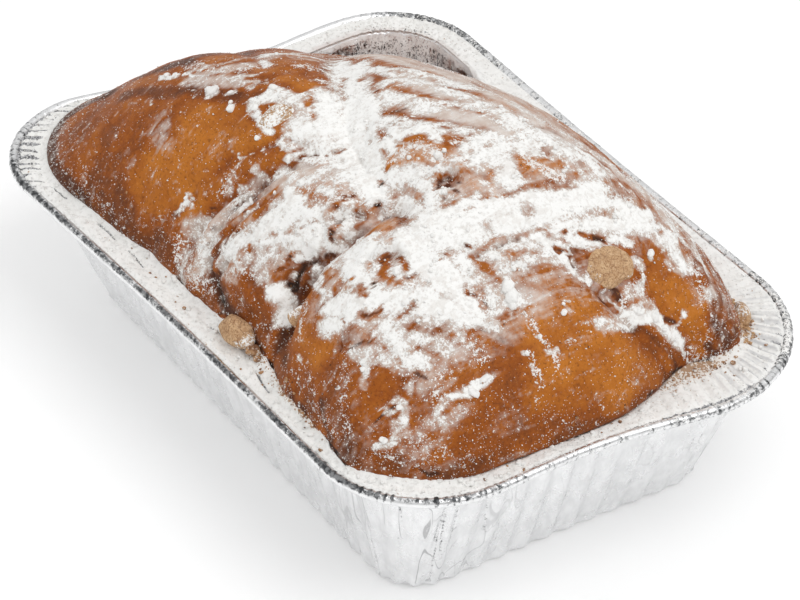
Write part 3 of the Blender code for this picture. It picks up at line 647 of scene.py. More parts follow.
# Crust showing through it.
BARE = (
    (1, 1.5, ((-13, -20, 91),)),
    (0.8, 1.1, ((-8, -21, 91),)),
    (0.7, 1.3, ((-22, -3, 88), (-14, -8, 90), (-10, -10, 91))),
    (0.55, 1.3, ((-32, 6, 84), (-34, 8, 83))),
    (0.6, 0.8, ((-15, -1, 91), (-20, 1, 89))),
    (0.9, 0.6, ((12, -10, 95), (15, -9, 97))),
    (0.8, 0.5, ((10, -4, 97), (11, -3, 97))),
    (0.5, 0.8, ((6, -4, 96), (7, -8, 95))),
    (0.9, 0.5, ((12, -15, 92),)),
    (0.9, 0.6, ((26, -21, 90), (27, -20, 90))),
    (0.8, 0.7, ((-5, -4, 94), (-4, -3, 95))),
    (0.7, 1.1, ((-3, -1, 96), (-2, 2, 96))),
    (0.7, 0.8, ((1, 2, 97),)),
    (0.5, 1.1, ((-8, 3, 95),)),
    (1, 1.1, ((25, -18, 92), (24, -16, 94), (25, -13, 96), (26, -10, 97))),
    (0.7, 1.1, ((29, -10, 98), (31, -9, 97))),
    (0.66, 0.9, ((32, -11, 96), (35, -10, 96), (38, -8, 97), (40, -6, 98), (38, -3, 97))),
    (0.6, 0.9, ((35, -4, 97), (32, -2, 98), (32, 0, 98))),
    (0.52, 1.1, ((30, -3, 98), (28, -1, 98), (30, 1, 98), (31, 5, 98))),
    (0.8, 0.8, ((24, -2, 99), (25, 1, 98))),
    (0.5, 1.3, ((17, 3, 98), (25, 4, 98), (28, 9, 98))),
    (0.6, 0.8, ((2, 6, 97), (7, 13, 96), (15, 17, 97), (24, 21, 97), (30, 23, 96))),
    (0.5, 0.5, ((-6, 22, 90), (2, 27, 89), (13, 29, 90), (23, 31, 90), (27, 34, 89))),
    (0.5, 1.1, ((29, 27, 94), (34, 27, 94))),
    (0.5, 1.1, ((16, 5, 98), (22, 9, 98), (27, 15, 98))),
    (0.6, 0.8, ((30, 10, 98), (33, 11, 98))),
    (0.58, 1.3, ((45, 13, 95), (47, 16, 94), (48, 20, 93))),
    (0.65, 1.0, ((49, 9, 95), (51, 10, 94))),
    (0.7, 1.1, ((50, 24, 92), (50, 26, 92))),
    (0.8, 1.2, ((43, 20, 95), (44, 18, 95))),
    (0.6, 0.8, ((54, 13, 92), (55, 16, 91), (55, 20, 90))),
    (0.9, 0.5, ((43, 2, 96), (47, -1, 95), (50, -3, 94))),
    (0.9, 0.6, ((51, -6, 93), (52, -3, 93), (53, -2, 93))),
    (0.8, 0.6, ((44, -5, 96), (46, -5, 95))),
    (0.6, 0.5, ((45, -8, 94), (48, -9, 94))),
    (0.6, 0.8, ((52, -12, 92), (52, -10, 92))),
    (0.4, 1.1, ((53, 4, 93), (52, 7, 94))),
    (0.6, 0.5, ((52, 0, 93), (52, 3, 93))),
    (0.45, 1.9, ((57, 4, 91), (58, 3, 90))),
    (0.65, 0.9, ((59, 28, 86), (59, 32, 85), (60, 36, 83), (62, 35, 82))),
    (0.8, 0.8, ((55, 37, 84), (55, 39, 82))),
    (0.5, 1.1, ((63, 25, 84), (62, 28, 84))),
    (0.45, 1.3, ((50, 43, 79), (57, 44, 77), (61, 45, 75))),
    (0.4, 1.1, ((50, 32, 89), (52, 37, 84), (53, 40, 81))),
    (0.8, 0.7, ((66, 9, 86), (66, 10, 86))),
    (0.8, 0.7, ((67, 14, 84), (67, 16, 84))),
    (0.9, 0.9, ((68, 18, 82), (69, 20, 81))),
    (0.9, 0.8, ((69, 5, 83), (70, 7, 83))),
    (0.8, 0.4, ((65, -1, 87),)),
    (0.9, 0.5, ((63, -13, 88), (63, -9, 87), (64, -4, 87))),
    (0.6, 0.5, ((69, 12, 83), (69, 15, 82))),
    (0.75, 1.1, ((71, 29, 77), (71, 33, 77), (73, 34, 75))),
    (0.6, 0.8, ((69, 38, 77), (69, 39, 77))),
    (0.65, 0.8, ((21, -37, 86), (25, -36, 87), (27, -34, 87))),
    (0.8, 0.8, ((24, -32, 88), (27, -30, 88))),
    (0.6, 1.3, ((22, -29, 89), (24, -30, 88))),
    (0.6, 1.1, ((17, -39, 84), (20, -39, 85))),
    (0.9, 1.2, ((30, -39, 83), (31, -40, 81))),
    (0.9, 0.8, ((27, -35, 84), (27, -34, 84))),
    (0.7, 0.8, ((25, -42, 81), (27, -42, 80))),
    (0.7, 0.8, ((22, -47, 73), (21, -48, 72))),
    (0.45, 1.3, ((14, -51, 71), (17, -49, 72), (20, -47, 75))),
    (0.6, 1.1, ((20, -49, 71), (24, -47, 71), (23, -49, 69))),
    (0.9, 1.3, ((33, -26, 88), (33, -27, 87), (32, -29, 85))),
    (0.75, 1.6, ((35, -28, 85), (43, -29, 88))),
    (1, 0.8, ((42, -14, 93), (39, -11, 94), (40, -9, 94), (45, -9, 94), (48, -10, 94))),
    (0.4, 1.3, ((47, -15, 92), (48, -13, 93))),
    (0.5, 1.6, ((34, -18, 91), (36, -18, 91))),
    (0.5, 1.1, ((39, -18, 92), (43, -18, 91))),
    (0.6, 0.8, ((31, -30, 86), (32, -34, 84))),
    (0.8, 0.8, ((30, -31, 86), (32, -30, 88))),
    (1, 1.5, ((26, -46, 69), (25, -48, 65), (27, -48, 65))),
    (0.6, 1.0, ((26, -45, 72), (29, -42, 74), (32, -39, 76))),
    (1, 0.6, ((44, -51, 72), (46, -48, 75), (46, -46, 78), (48, -44, 81))),
    (0.8, 1.1, ((35, -50, 68), (41, -52, 70))),
    (0.6, 1.3, ((42, -48, 75), (39, -45, 77))),
    (1, 1.0, ((52, -38, 84), (50, -36, 85), (50, -34, 85), (53, -32, 86), (56, -33, 85))),
    (0.8, 0.4, ((59, -37, 83), (60, -33, 84))),
    (1, 0.5, ((55, -41, 81),)),
    (0.8, 1.3, ((52, -44, 80), (55, -44, 80))),
    (0.8, 0.8, ((57, -47, 77), (60, -46, 77), (61, -43, 79))),
    (0.6, 0.5, ((54, -50, 74),)),
    (0.6, 0.8, ((65, -38, 80), (66, -35, 81))),
    (0.9, 1.1, ((68, -40, 77), (70, -38, 77), (72, -37, 77))),
    (0.6, 1.3, ((74, -36, 76), (77, -32, 76))),
    (0.7, 1.6, ((70, -22, 82), (72, -20, 82), (74, -20, 81))),
    (0.9, 1.1, ((74, -20, 80), (76, -20, 79))),
    (0.5, 1.3, ((67, -17, 85), (69, -14, 84))),
    (0.6, 0.8, ((67, -14, 86), (65, -16, 86))),
    (1, 1.9, ((-18, -28, 89), (-13, -28, 89))),
    (1, 2.4, ((74, 17, 79), (74, 23, 77))),
    (1, 1.9, ((76, 17, 77), (73, 16, 80), (72, 25, 77))),
    (0.8, 2.4, ((55, -53, 69), (59, -50, 73), (62, -50, 73))),
    (0.45, 1.3, ((72, -49, 69), (76, -47, 69), (78, -45, 69))),
    (0.8, 1.3, ((72, 10, 82), (74, 9, 80), (75, 9, 78))),
    (0.8, 1.1, ((73, 13, 80), (72, 17, 81))),
    (1, 1.3, ((79, 17, 73), (80, 17, 72))),
    (1, 2.7, ((73, 44, 71), (76, 45, 68), (80, 45, 66))),
    (0.95, 2.4, ((81, 40, 67), (84, 41, 64))),
    (0.88, 2.2, ((56, 32, 87), (59, 34, 84), (61, 38, 81))),
    (1, 2.4, ((-6, -40, 76), (5, -43, 81), (4, -44, 79))),
    (0.7, 2.2, ((-6, -60, 52), (-8, -61, 48))),
    (0.8, 2.2, ((-18, -47, 72), (-14, -47, 70), (-15, -48, 68))),
    (0.85, 2.2, ((81, -42, 69), (85, -41, 67), (85, -38, 68))),
    (0.85, 2.2, ((47, 16, 94), (52, 18, 92))),
    (0.45, 1.6, ((49, 0, 94), (53, 1, 93))),
    (0.5, 1.6, ((26, 30, 91), (29, 32, 90))),
    (0.5, 1.6, ((45, -33, 87), (48, -33, 88))),
    (0.5, 1.9, ((75, -8, 82), (78, -7, 80))),
    (0.4, 1.6, ((52, 44, 79), (53, 47, 75))),
    (0.4, 1.6, ((85, -51, 59), (88, -51, 57))),
    (0.92, 1.1, ((24, -49, 66), (26, -48, 65), (26, -46, 69), (26, -45, 71))),
    (0.92, 0.9, ((26, -45, 72), (28, -42, 73), (32, -39, 76))),
    (0.92, 1.1, ((30, -39, 83), (31, -40, 81))),
    (0.92, 0.8, ((27, -35, 83), (29, -33, 86))),
    (0.92, 0.7, ((32, -30, 86), (32, -27, 88), (33, -26, 88))),
    (0.92, 0.8, ((42, -14, 93), (39, -11, 94), (40, -9, 94), (44, -8, 95))),
    (0.92, 0.8, ((41, -10, 93), (43, -11, 94), (46, -10, 94))),
    (0.92, 0.7, ((51, -37, 84), (50, -36, 85), (50, -34, 85), (53, -32, 86))),
    (0.92, 0.7, ((59, -34, 84), (60, -32, 85))),
    (0.92, 0.7, ((27, -21, 90), (27, -22, 89))),
    (0.92, 0.7, ((54, -41, 82), (55, -41, 81))),
    (0.92, 0.5, ((12, -15, 92),)),
    (0.92, 0.5, ((-26, -27, 89),)),
    (0.92, 0.4, ((-38, -53, 68),)),
    (0.92, 0.5, ((22, -47, 73),)),
    (0.92, 0.8, ((24, -37, 85), (26, -35, 87))),
    (0.92, 0.7, ((24, -32, 88), (26, -29, 88))),
    (0.92, 0.5, ((70, 9, 83), (72, 7, 81), (74, 8, 79))),
    (0.92, 0.8, ((68, 18, 82), (69, 20, 81))),
    (0.92, 0.7, ((66, 10, 86),)),
    (0.92, 0.7, ((67, 14, 84), (67, 15, 84))),
    (0.92, 0.6, ((69, 5, 84), (70, 7, 83))),
    (0.92, 1.4, ((79, 16, 75), (80, 17, 72), (81, 17, 71))),
    (0.92, 0.7, ((80, 11, 73), (81, 13, 70))),
    (0.92, 1.0, ((85, 29, 62), (85, 32, 60))),
    (0.92, 0.5, ((85, 34, 61), (84, 35, 64))),
    (0.92, 0.5, ((63, -15, 86), (64, -11, 86), (64, -7, 87), (64, -3, 87))),
    (0.92, 0.7, ((71, -23, 82), (72, -21, 81))),
    (0.92, 0.9, ((74, -20, 80), (76, -19, 79))),
    (0.92, 0.5, ((79, -56, 59), (79, -54, 61), (80, -51, 63))),
    (0.92, 0.7, ((65, -63, 49), (69, -64, 49), (73, -64, 49))),
    (0.92, 0.5, ((72, -64, 49), (74, -64, 49))),
    (0.92, 0.9, ((31, -59, 49), (35, -60, 48))),
    (0.92, 0.4, ((6, -59, 51), (9, -59, 48), (14, -59, 48))),
    (0.92, 0.6, ((17, -58, 49), (24, -58, 50), (29, -59, 50))),
    (0.92, 0.5, ((-4, -42, 75), (-2, -45, 75), (1, -42, 80))),
    (0.92, 0.5, ((1, -51, 71), (0, -53, 67), (2, -56, 64))),
    (0.92, 0.4, ((-9, -52, 66), (-9, -54, 63), (-7, -55, 60))),
    (0.92, 0.4, ((-7, -45, 72), (-8, -48, 67))),
    (0.92, 0.4, ((3, -47, 75), (3, -51, 72), (2, -52, 69))),
    (0.92, 0.5, ((0, -48, 74), (1, -48, 75))),
    (0.92, 0.5, ((8, -7, 96), (10, -3, 97))),
    (0.92, 0.7, ((12, -10, 95), (15, -7, 97))),
    (0.92, 0.7, ((-5, -4, 94), (-4, -3, 95))),
    (0.92, 0.7, ((57, -47, 77), (60, -46, 77), (61, -43, 79))),
    (0.92, 0.7, ((65, -40, 78), (66, -36, 80))),
    (0.92, 0.5, ((54, -50, 74), (55, -50, 74))),
    (0.92, 0.5, ((8, -59, 51), (5, -60, 48))),
    (0.92, 0.7, ((92, -51, 51), (94, -50, 50), (95, -47, 50))),
    (0.92, 0.7, ((78, -44, 70), (81, -42, 69))),
    (0.92, 0.5, ((61, -53, 70), (63, -50, 72), (65, -48, 73))),
    (0.92, 0.5, ((90, 33, 48), (90, 37, 48), (91, 41, 48))),
    (0.92, 0.5, ((91, 42, 48), (92, 44, 47))),
    (0.92, 0.6, ((96, 17, 49), (95, 21, 49), (92, 27, 49), (90, 32, 48))),
    (0.92, 0.4, ((-17, -50, 65), (-15, -48, 67), (-14, -46, 69))),
    (0.92, 0.4, ((8, -21, 89), (6, -24, 88), (5, -26, 87))),
    (0.92, 0.4, ((60, -25, 87), (59, -21, 88))),
    (0.92, 0.5, ((61, -16, 88), (59, -17, 88))),
    (0.92, 0.5, ((21, -43, 80), (24, -40, 83))),
    (0.92, 0.5, ((27, -42, 80), (24, -43, 80))),
    (0.92, 0.5, ((22, -48, 72), (22, -46, 74), (24, -45, 75))),
    (0.92, 0.8, ((21, -50, 69), (22, -49, 70))),
    (0.92, 0.7, ((0, -30, 85), (3, -27, 86))),
    (0.92, 0.3, ((0, -30, 85), (-1, -33, 83), (-1, -35, 82), (-2, -37, 80))),
    (0.92, 0.3, ((28, -33, 87), (27, -31, 87), (27, -28, 88))),
    (0.92, 0.3, ((43, -25, 89), (44, -28, 89), (43, -31, 88))),
    (0.92, 0.3, ((39, -18, 92), (42, -17, 92), (45, -18, 92))),
    (0.92, 0.3, ((69, -8, 85), (71, -6, 84), (74, -6, 83))),
    (0.92, 0.3, ((15, 14, 97), (19, 16, 97), (25, 18, 97))),
    (0.92, 0.3, ((31, 32, 90), (36, 34, 89), (38, 40, 84))),
    (0.92, 0.3, ((-40, 4, 81), (-30, -5, 87), (-23, -8, 89))),
    (0.92, 0.3, ((-26, 2, 86), (-19, -5, 89), (-13, -7, 90))),
    (0.92, 0.3, ((-16, -17, 91), (-13, -18, 91), (-10, -20, 91))),
    (0.92, 0.3, ((-9, -25, 90), (-6, -25, 90))),
    (0.92, 0.3, ((11, -42, 83), (10, -44, 80), (7, -46, 77))),
    (0.92, 0.3, ((10, -50, 72), (9, -52, 70), (11, -53, 69))),
    (0.92, 0.3, ((24, -38, 85), (26, -38, 84))),
    (0.92, 0.3, ((81, 17, 72), (82, 18, 70), (83, 17, 69))),
    (0.92, 0.3, ((71, 15, 81), (73, 12, 81), (74, 12, 79))),
)
# Smaller patches of sugar on those.
CLUMPS = (
    (0.9, 0.4, ((70, 27, 78), (72, 29, 76), (75, 29, 74), (78, 27, 71), (81, 24, 69))),
    (0.8, 0.4, ((76, 25, 75), (78, 25, 72), (81, 23, 70))),
    (1, 1.2, ((32, -8, 98), (34, -8, 97))),
    (1, 0.8, ((28, -14, 96),)),
    (1, 0.8, ((33, -6, 98),)),
    (1, 0.7, ((31, -3, 98),)),
    (1, 0.8, ((30, -12, 96),)),
    (1, 0.5, ((28, -2, 98), (29, -1, 98))),
    (1, 1.3, ((44, -13, 94), (43, -11, 94))),
    (0.9, 1.3, ((55, -36, 84), (57, -35, 84))),
    (1, 1.2, ((74, 32, 74),)),
    (1, 0.8, ((62, 31, 84), (62, 32, 84))),
    (1, 0.8, ((49, 21, 92), (51, 19, 92))),
    (0.9, 0.4, ((9, 2, 98), (14, 5, 98), (19, 9, 98))),
    (0.9, 0.4, ((9, 11, 97), (15, 15, 97), (23, 18, 97))),
    (0.9, 0.4, ((28, 15, 98), (34, 17, 97), (40, 21, 96))),
    (0.85, 0.4, ((40, 26, 94), (44, 29, 92), (50, 32, 89))),
    (0.9, 0.4, ((20, -2, 99), (24, 1, 98), (27, 6, 98))),
    (0.9, 0.4, ((9, -6, 96), (16, -4, 98))),
    (0.8, 0.4, ((33, 5, 98), (38, 8, 97), (40, 11, 97))),
    (0.9, 0.4, ((43, 17, 95), (46, 19, 94))),
    (0.9, 0.4, ((29, -14, 95), (32, -13, 95))),
    (0.9, 0.4, ((23, -14, 96), (24, -13, 96))),
    (0.9, 0.5, ((48, -7, 94), (48, -5, 94))),
    (1, 1.9, ((31, -35, 84), (29, -33, 86))),
    (0.95, 1.9, ((33, -35, 82), (41, -35, 85), (42, -34, 87))),
    (0.8, 1.1, ((31, -30, 84), (32, -30, 84))),
    (0.9, 1.6, ((31, -40, 79), (33, -37, 79))),
    (0.95, 1.6, ((68, 10, 84), (69, 15, 82), (70, 18, 81))),
    (0.95, 1.2, ((69, 22, 81), (69, 26, 79), (71, 28, 77))),
    (1, 2.2, ((16, -17, 92), (18, -14, 95), (22, -15, 95))),
    (0.9, 1.9, ((-18, 5, 90), (-8, 4, 94))),
    (0.8, 2.2, ((68, -11, 86), (70, -9, 84), (71, -12, 84))),
    (0.66, 1.9, ((70, -5, 85), (71, -1, 84), (72, 3, 83))),
    (0.85, 1.1, ((35, -47, 72), (41, -49, 74))),
    (0.85, 1.1, ((29, -43, 72), (36, -43, 77), (42, -43, 80))),
    (0.8, 0.9, ((48, -37, 85), (51, -39, 83))),
    (0.7, 2.2, ((69, -49, 71), (72, -47, 70))),
    (0.8, 1.6, ((-8, -32, 87), (-4, -31, 86), (-5, -28, 87))),
    (0.7, 1.1, ((34, -27, 85), (36, -25, 87))),
    (0.7, 1.1, ((39, -8, 96), (42, -7, 96))),
    (0.7, 1.1, ((22, -12, 96), (25, -11, 97))),
)
# Loose grains: how many.
GRAINY = (
    (0.08, 16.1, ((-69, -57, 61), (-46, -47, 74), (-19, -50, 68), (-24, -34, 85))),
    (0.42, 2.4, ((-97, -52, 49), (-81, -62, 52), (-64, -65, 51), (-47, -63, 51), (-30, -61, 48))),
    (0.8, 2.4, ((-16, -44, 75), (-13, -45, 74), (-15, -46, 71))),
    (0.75, 3.2, ((-18, -56, 56), (-12, -58, 54), (-7, -60, 52), (0, -59, 53))),
    (0.9, 1.9, ((-19, -57, 56), (-17, -60, 52), (-13, -60, 49))),
    (0.7, 2.4, ((11, -55, 67), (14, -56, 64), (15, -54, 65))),
    (0.25, 4.8, ((13, -57, 57), (20, -57, 55))),
    (0.8, 1.6, ((28, -46, 65), (40, -53, 69), (43, -57, 63))),
    (0.5, 3.8, ((50, -61, 55), (55, -61, 56), (68, -63, 52))),
    (0.6, 2.2, ((61, -55, 66), (68, -59, 61), (76, -62, 54))),
    (0.48, 2.7, ((82, -52, 60), (86, -53, 56), (89, -49, 57))),
    (0.35, 3.2, ((82, -44, 67), (85, -38, 68), (78, -48, 67))),
    (0.5, 2.4, ((85, -58, 52), (93, -49, 53), (97, -39, 52))),
    (0.28, 6.5, ((95, -35, 58), (94, -28, 61), (90, -35, 65))),
    (0.12, 10.8, ((94, -3, 64), (91, 17, 60), (98, 0, 56))),
    (0.8, 2.7, ((79, -33, 74), (81, -28, 74), (84, -28, 72))),
    (0.85, 1.3, ((81, -12, 77), (86, -11, 73), (88, -9, 71), (93, -11, 66))),
    (0.85, 1.3, ((87, -15, 71), (91, -16, 67), (93, -16, 64), (96, -18, 60))),
    (0.45, 4.3, ((82, 42, 65), (88, 44, 58), (89, 38, 54))),
    (0.75, 2.4, ((89, 34, 52), (90, 36, 48), (91, 41, 48), (92, 46, 47))),
    (0.95, 1.9, ((79, 25, 71), (81, 21, 71), (82, 18, 70))),
    (0.8, 2.4, ((-63, -28, 79), (-53, -26, 83), (-42, -24, 86), (-40, -15, 87))),
    (0.95, 2.7, ((-33, -10, 89), (-28, -5, 87), (-19, -6, 89))),
    (0.9, 2.2, ((-22, -11, 90), (-15, -10, 90), (-15, -6, 90))),
    (0.8, 2.2, ((12, -38, 86), (20, -36, 87), (24, -33, 87))),
    (0.85, 1.9, ((22, -36, 87), (25, -31, 88), (27, -30, 88))),
    (0.7, 1.9, ((-8, -47, 68), (-8, -52, 63), (-3, -55, 62))),
    (0.7, 2.2, ((6, -12, 93), (15, -13, 95), (16, -17, 92))),
    (0.6, 3.2, ((87, -41, 65), (82, -42, 69), (83, -36, 71))),
    (0.7, 1.9, ((70, -24, 83), (74, -20, 80), (69, -19, 84))),
    (0.6, 1.9, ((56, 2, 91), (58, 2, 90), (55, 2, 92))),
    (0.6, 2.7, ((87, 8, 71), (87, 14, 67))),
    (0.75, 2.4, ((75, 44, 70), (80, 45, 66), (83, 42, 64))),
    (0.55, 2.7, ((88, -47, 60), (92, -45, 57), (90, -52, 53))),
    (1, 2.4, ((24, -16, 94), (26, -11, 97), (30, -9, 98), (36, -7, 97))),
    (1, 2.4, ((31, -1, 98), (31, 4, 98))),
    (1.1, 2.4, ((45, 12, 95), (49, 15, 94), (52, 18, 92))),
    (1, 1.6, ((46, -3, 95), (49, -2, 94))),
    (0.8, 2.2, ((2, 17, 94), (8, 21, 94), (24, 24, 95), (36, 28, 93), (45, 35, 87), (53, 43, 79))),
    (0.9, 2.2, ((59, 27, 87), (61, 34, 83))),
    (0.8, 2.4, ((3, -51, 71), (10, -48, 76), (10, -53, 70))),
    (0.8, 1.9, ((31, -30, 86), (32, -27, 88))),
)
# Darker (below 0) or golden (above 0): baked tone, and painted shade along creases and folds.
TONE_AND_SHADE = (
    (0.66, 5.9, ((-40, -54, 66), (-30, -47, 74), (-27, -41, 79), (-36, -43, 78))),
    (0.45, 4.0, ((-37, -38, 82), (-26, -35, 84), (-17, -36, 84))),
    (0.5, 3.0, ((-41, -56, 63), (-36, -58, 60), (-30, -56, 61))),
    (-0.45, 3.5, ((-64, -53, 65), (-59, -58, 62), (-57, -61, 57))),
    (-1.3, 3.0, ((-76, -65, 50), (-86, -61, 50), (-95, -53, 50), (-95, -45, 53), (-87, -40, 60))),
    (-1.15, 3.0, ((-70, -66, 50), (-64, -66, 49), (-56, -65, 49))),
    (-0.42, 3.5, ((-55, -64, 52), (-40, -62, 51), (-30, -60, 50), (-22, -60, 52))),
    (-0.5, 2.7, ((-41, -61, 56), (-47, -60, 58))),
    (-0.85, 2.2, ((-75, -44, 67), (-62, -40, 74), (-48, -35, 81), (-39, -34, 84))),
    (-1, 2.2, ((-82, -33, 66), (-74, -30, 73), (-65, -27, 78))),
    (-0.7, 2.2, ((-39, -34, 84), (-30, -29, 88), (-28, -26, 89))),
    (-0.6, 2.2, ((-66, -23, 78), (-60, -17, 80), (-61, -10, 78))),
    (0.4, 1.9, ((-50, -25, 83), (-39, -19, 87), (-31, -15, 90))),
    (0.6, 3.2, ((-30, -55, 64), (-27, -52, 67), (-22, -52, 65))),
    (0.75, 2.7, ((-17, -39, 81), (-15, -35, 85), (-11, -34, 86))),
    (0.9, 1.9, ((-20, -54, 62), (-18, -53, 59))),
    (0.45, 3.2, ((-17, -55, 56), (-19, -52, 63))),
    (-0.55, 1.9, ((-27, -59, 54), (-19, -60, 51), (-11, -61, 48))),
    (-0.45, 2.2, ((-5, -60, 48), (1, -60, 48), (-8, -61, 48))),
    (-0.75, 1.3, ((-2, -55, 64), (-1, -57, 55), (5, -58, 52), (13, -58, 49))),
    (-0.85, 2.2, ((13, -59, 48), (18, -58, 49), (25, -58, 51))),
    (-0.6, 3.5, ((13, -54, 66), (19, -56, 60), (25, -56, 57))),
    (-0.35, 2.4, ((-2, -52, 68), (8, -54, 69), (15, -51, 70), (21, -48, 73))),
    (-0.75, 2.4, ((2, -57, 56), (7, -58, 54), (15, -58, 51))),
    (-0.5, 1.6, ((-3, -59, 54), (2, -59, 51))),
    (-1.1, 1.3, ((2, -41, 81), (3, -45, 78), (-6, -44, 73))),
    (-0.7, 1.9, ((31, -54, 56), (32, -56, 54), (39, -59, 55))),
    (-1.2, 1.3, ((31, -59, 48), (37, -61, 48))),
    (-0.9, 1.1, ((46, -62, 51), (49, -63, 48), (56, -63, 50))),
    (-0.15, 2.7, ((49, -61, 56), (55, -61, 54), (60, -62, 52))),
    (0.35, 2.2, ((45, -57, 64), (52, -56, 65), (55, -54, 68))),
    (0.55, 1.6, ((53, -58, 62), (54, -55, 66), (57, -52, 72))),
    (-0.35, 3.5, ((65, -60, 59), (73, -62, 55), (78, -62, 53))),
    (-1, 1.1, ((61, -61, 57), (65, -63, 52), (70, -64, 49))),
    (0.05, 3.0, ((73, -54, 65), (78, -53, 62), (79, -58, 58))),
    (-0.45, 2.4, ((78, -64, 50), (87, -57, 51), (96, -45, 50), (99, -28, 49))),
    (-0.25, 5.4, ((91, -44, 60), (95, -38, 57))),
    (-0.2, 5.4, ((93, -28, 62), (96, -30, 56), (94, -37, 59))),
    (0.8, 8.1, ((91, -8, 68), (95, 8, 60), (91, 5, 67))),
    (0.6, 4.8, ((85, -10, 74), (85, -4, 75), (84, 6, 74))),
    (0.5, 4.3, ((95, -17, 61), (97, -6, 58))),
    (-0.45, 1.6, ((99, -13, 50), (99, 6, 49), (96, 16, 49))),
    (-0.7, 0.9, ((88, 13, 67), (86, 20, 62), (88, 25, 59), (89, 27, 55), (90, 30, 49), (91, 27, 48))),
    (0.35, 2.2, ((89, 41, 55), (90, 45, 53), (89, 38, 52))),
    (0.45, 1.6, ((87, 20, 60), (89, 25, 56), (91, 27, 52))),
    (0.85, 4.3, ((79, 32, 68), (84, 38, 64), (88, 39, 56))),
    (0.8, 2.4, ((89, 38, 54), (90, 38, 51))),
    (-0.4, 1.6, ((71, 45, 71), (76, 47, 67), (84, 50, 59), (89, 50, 52))),
    (-0.5, 2.2, ((91, 45, 51), (88, 43, 58), (85, 46, 61))),
    (-0.9, 1.1, ((90, 40, 52), (91, 41, 49))),
    (0.9, 2.7, ((24, -16, 94), (31, -9, 97), (37, -5, 97))),
    (0.7, 1.6, ((45, -4, 95), (46, -6, 95))),
    (0.6, 3.2, ((47, 11, 95), (48, 19, 93))),
    (0.8, 1.1, ((42, 2, 96), (51, -3, 93), (53, -2, 93))),
    (-0.1, 1.3, ((29, 27, 94), (32, 33, 90), (42, 37, 86), (53, 43, 79), (60, 44, 75))),
    (0.7, 2.2, ((35, -28, 85), (43, -29, 88))),
    (0.7, 2.2, ((-23, -16, 91), (-20, -16, 91), (-28, -18, 91))),
    (0.5, 1.3, ((-13, -20, 91), (-10, -22, 90))),
    (0.5, 0.8, ((44, -51, 72), (46, -46, 78), (48, -44, 81))),
    (-0.5, 2.4, ((57, -52, 72), (62, -51, 71))),
    (0.3, 1.9, ((75, 33, 73), (78, 33, 70))),
    (0.9, 1.6, ((74, 19, 78),)),
    (0.8, 1.3, ((-16, -29, 89),)),
)
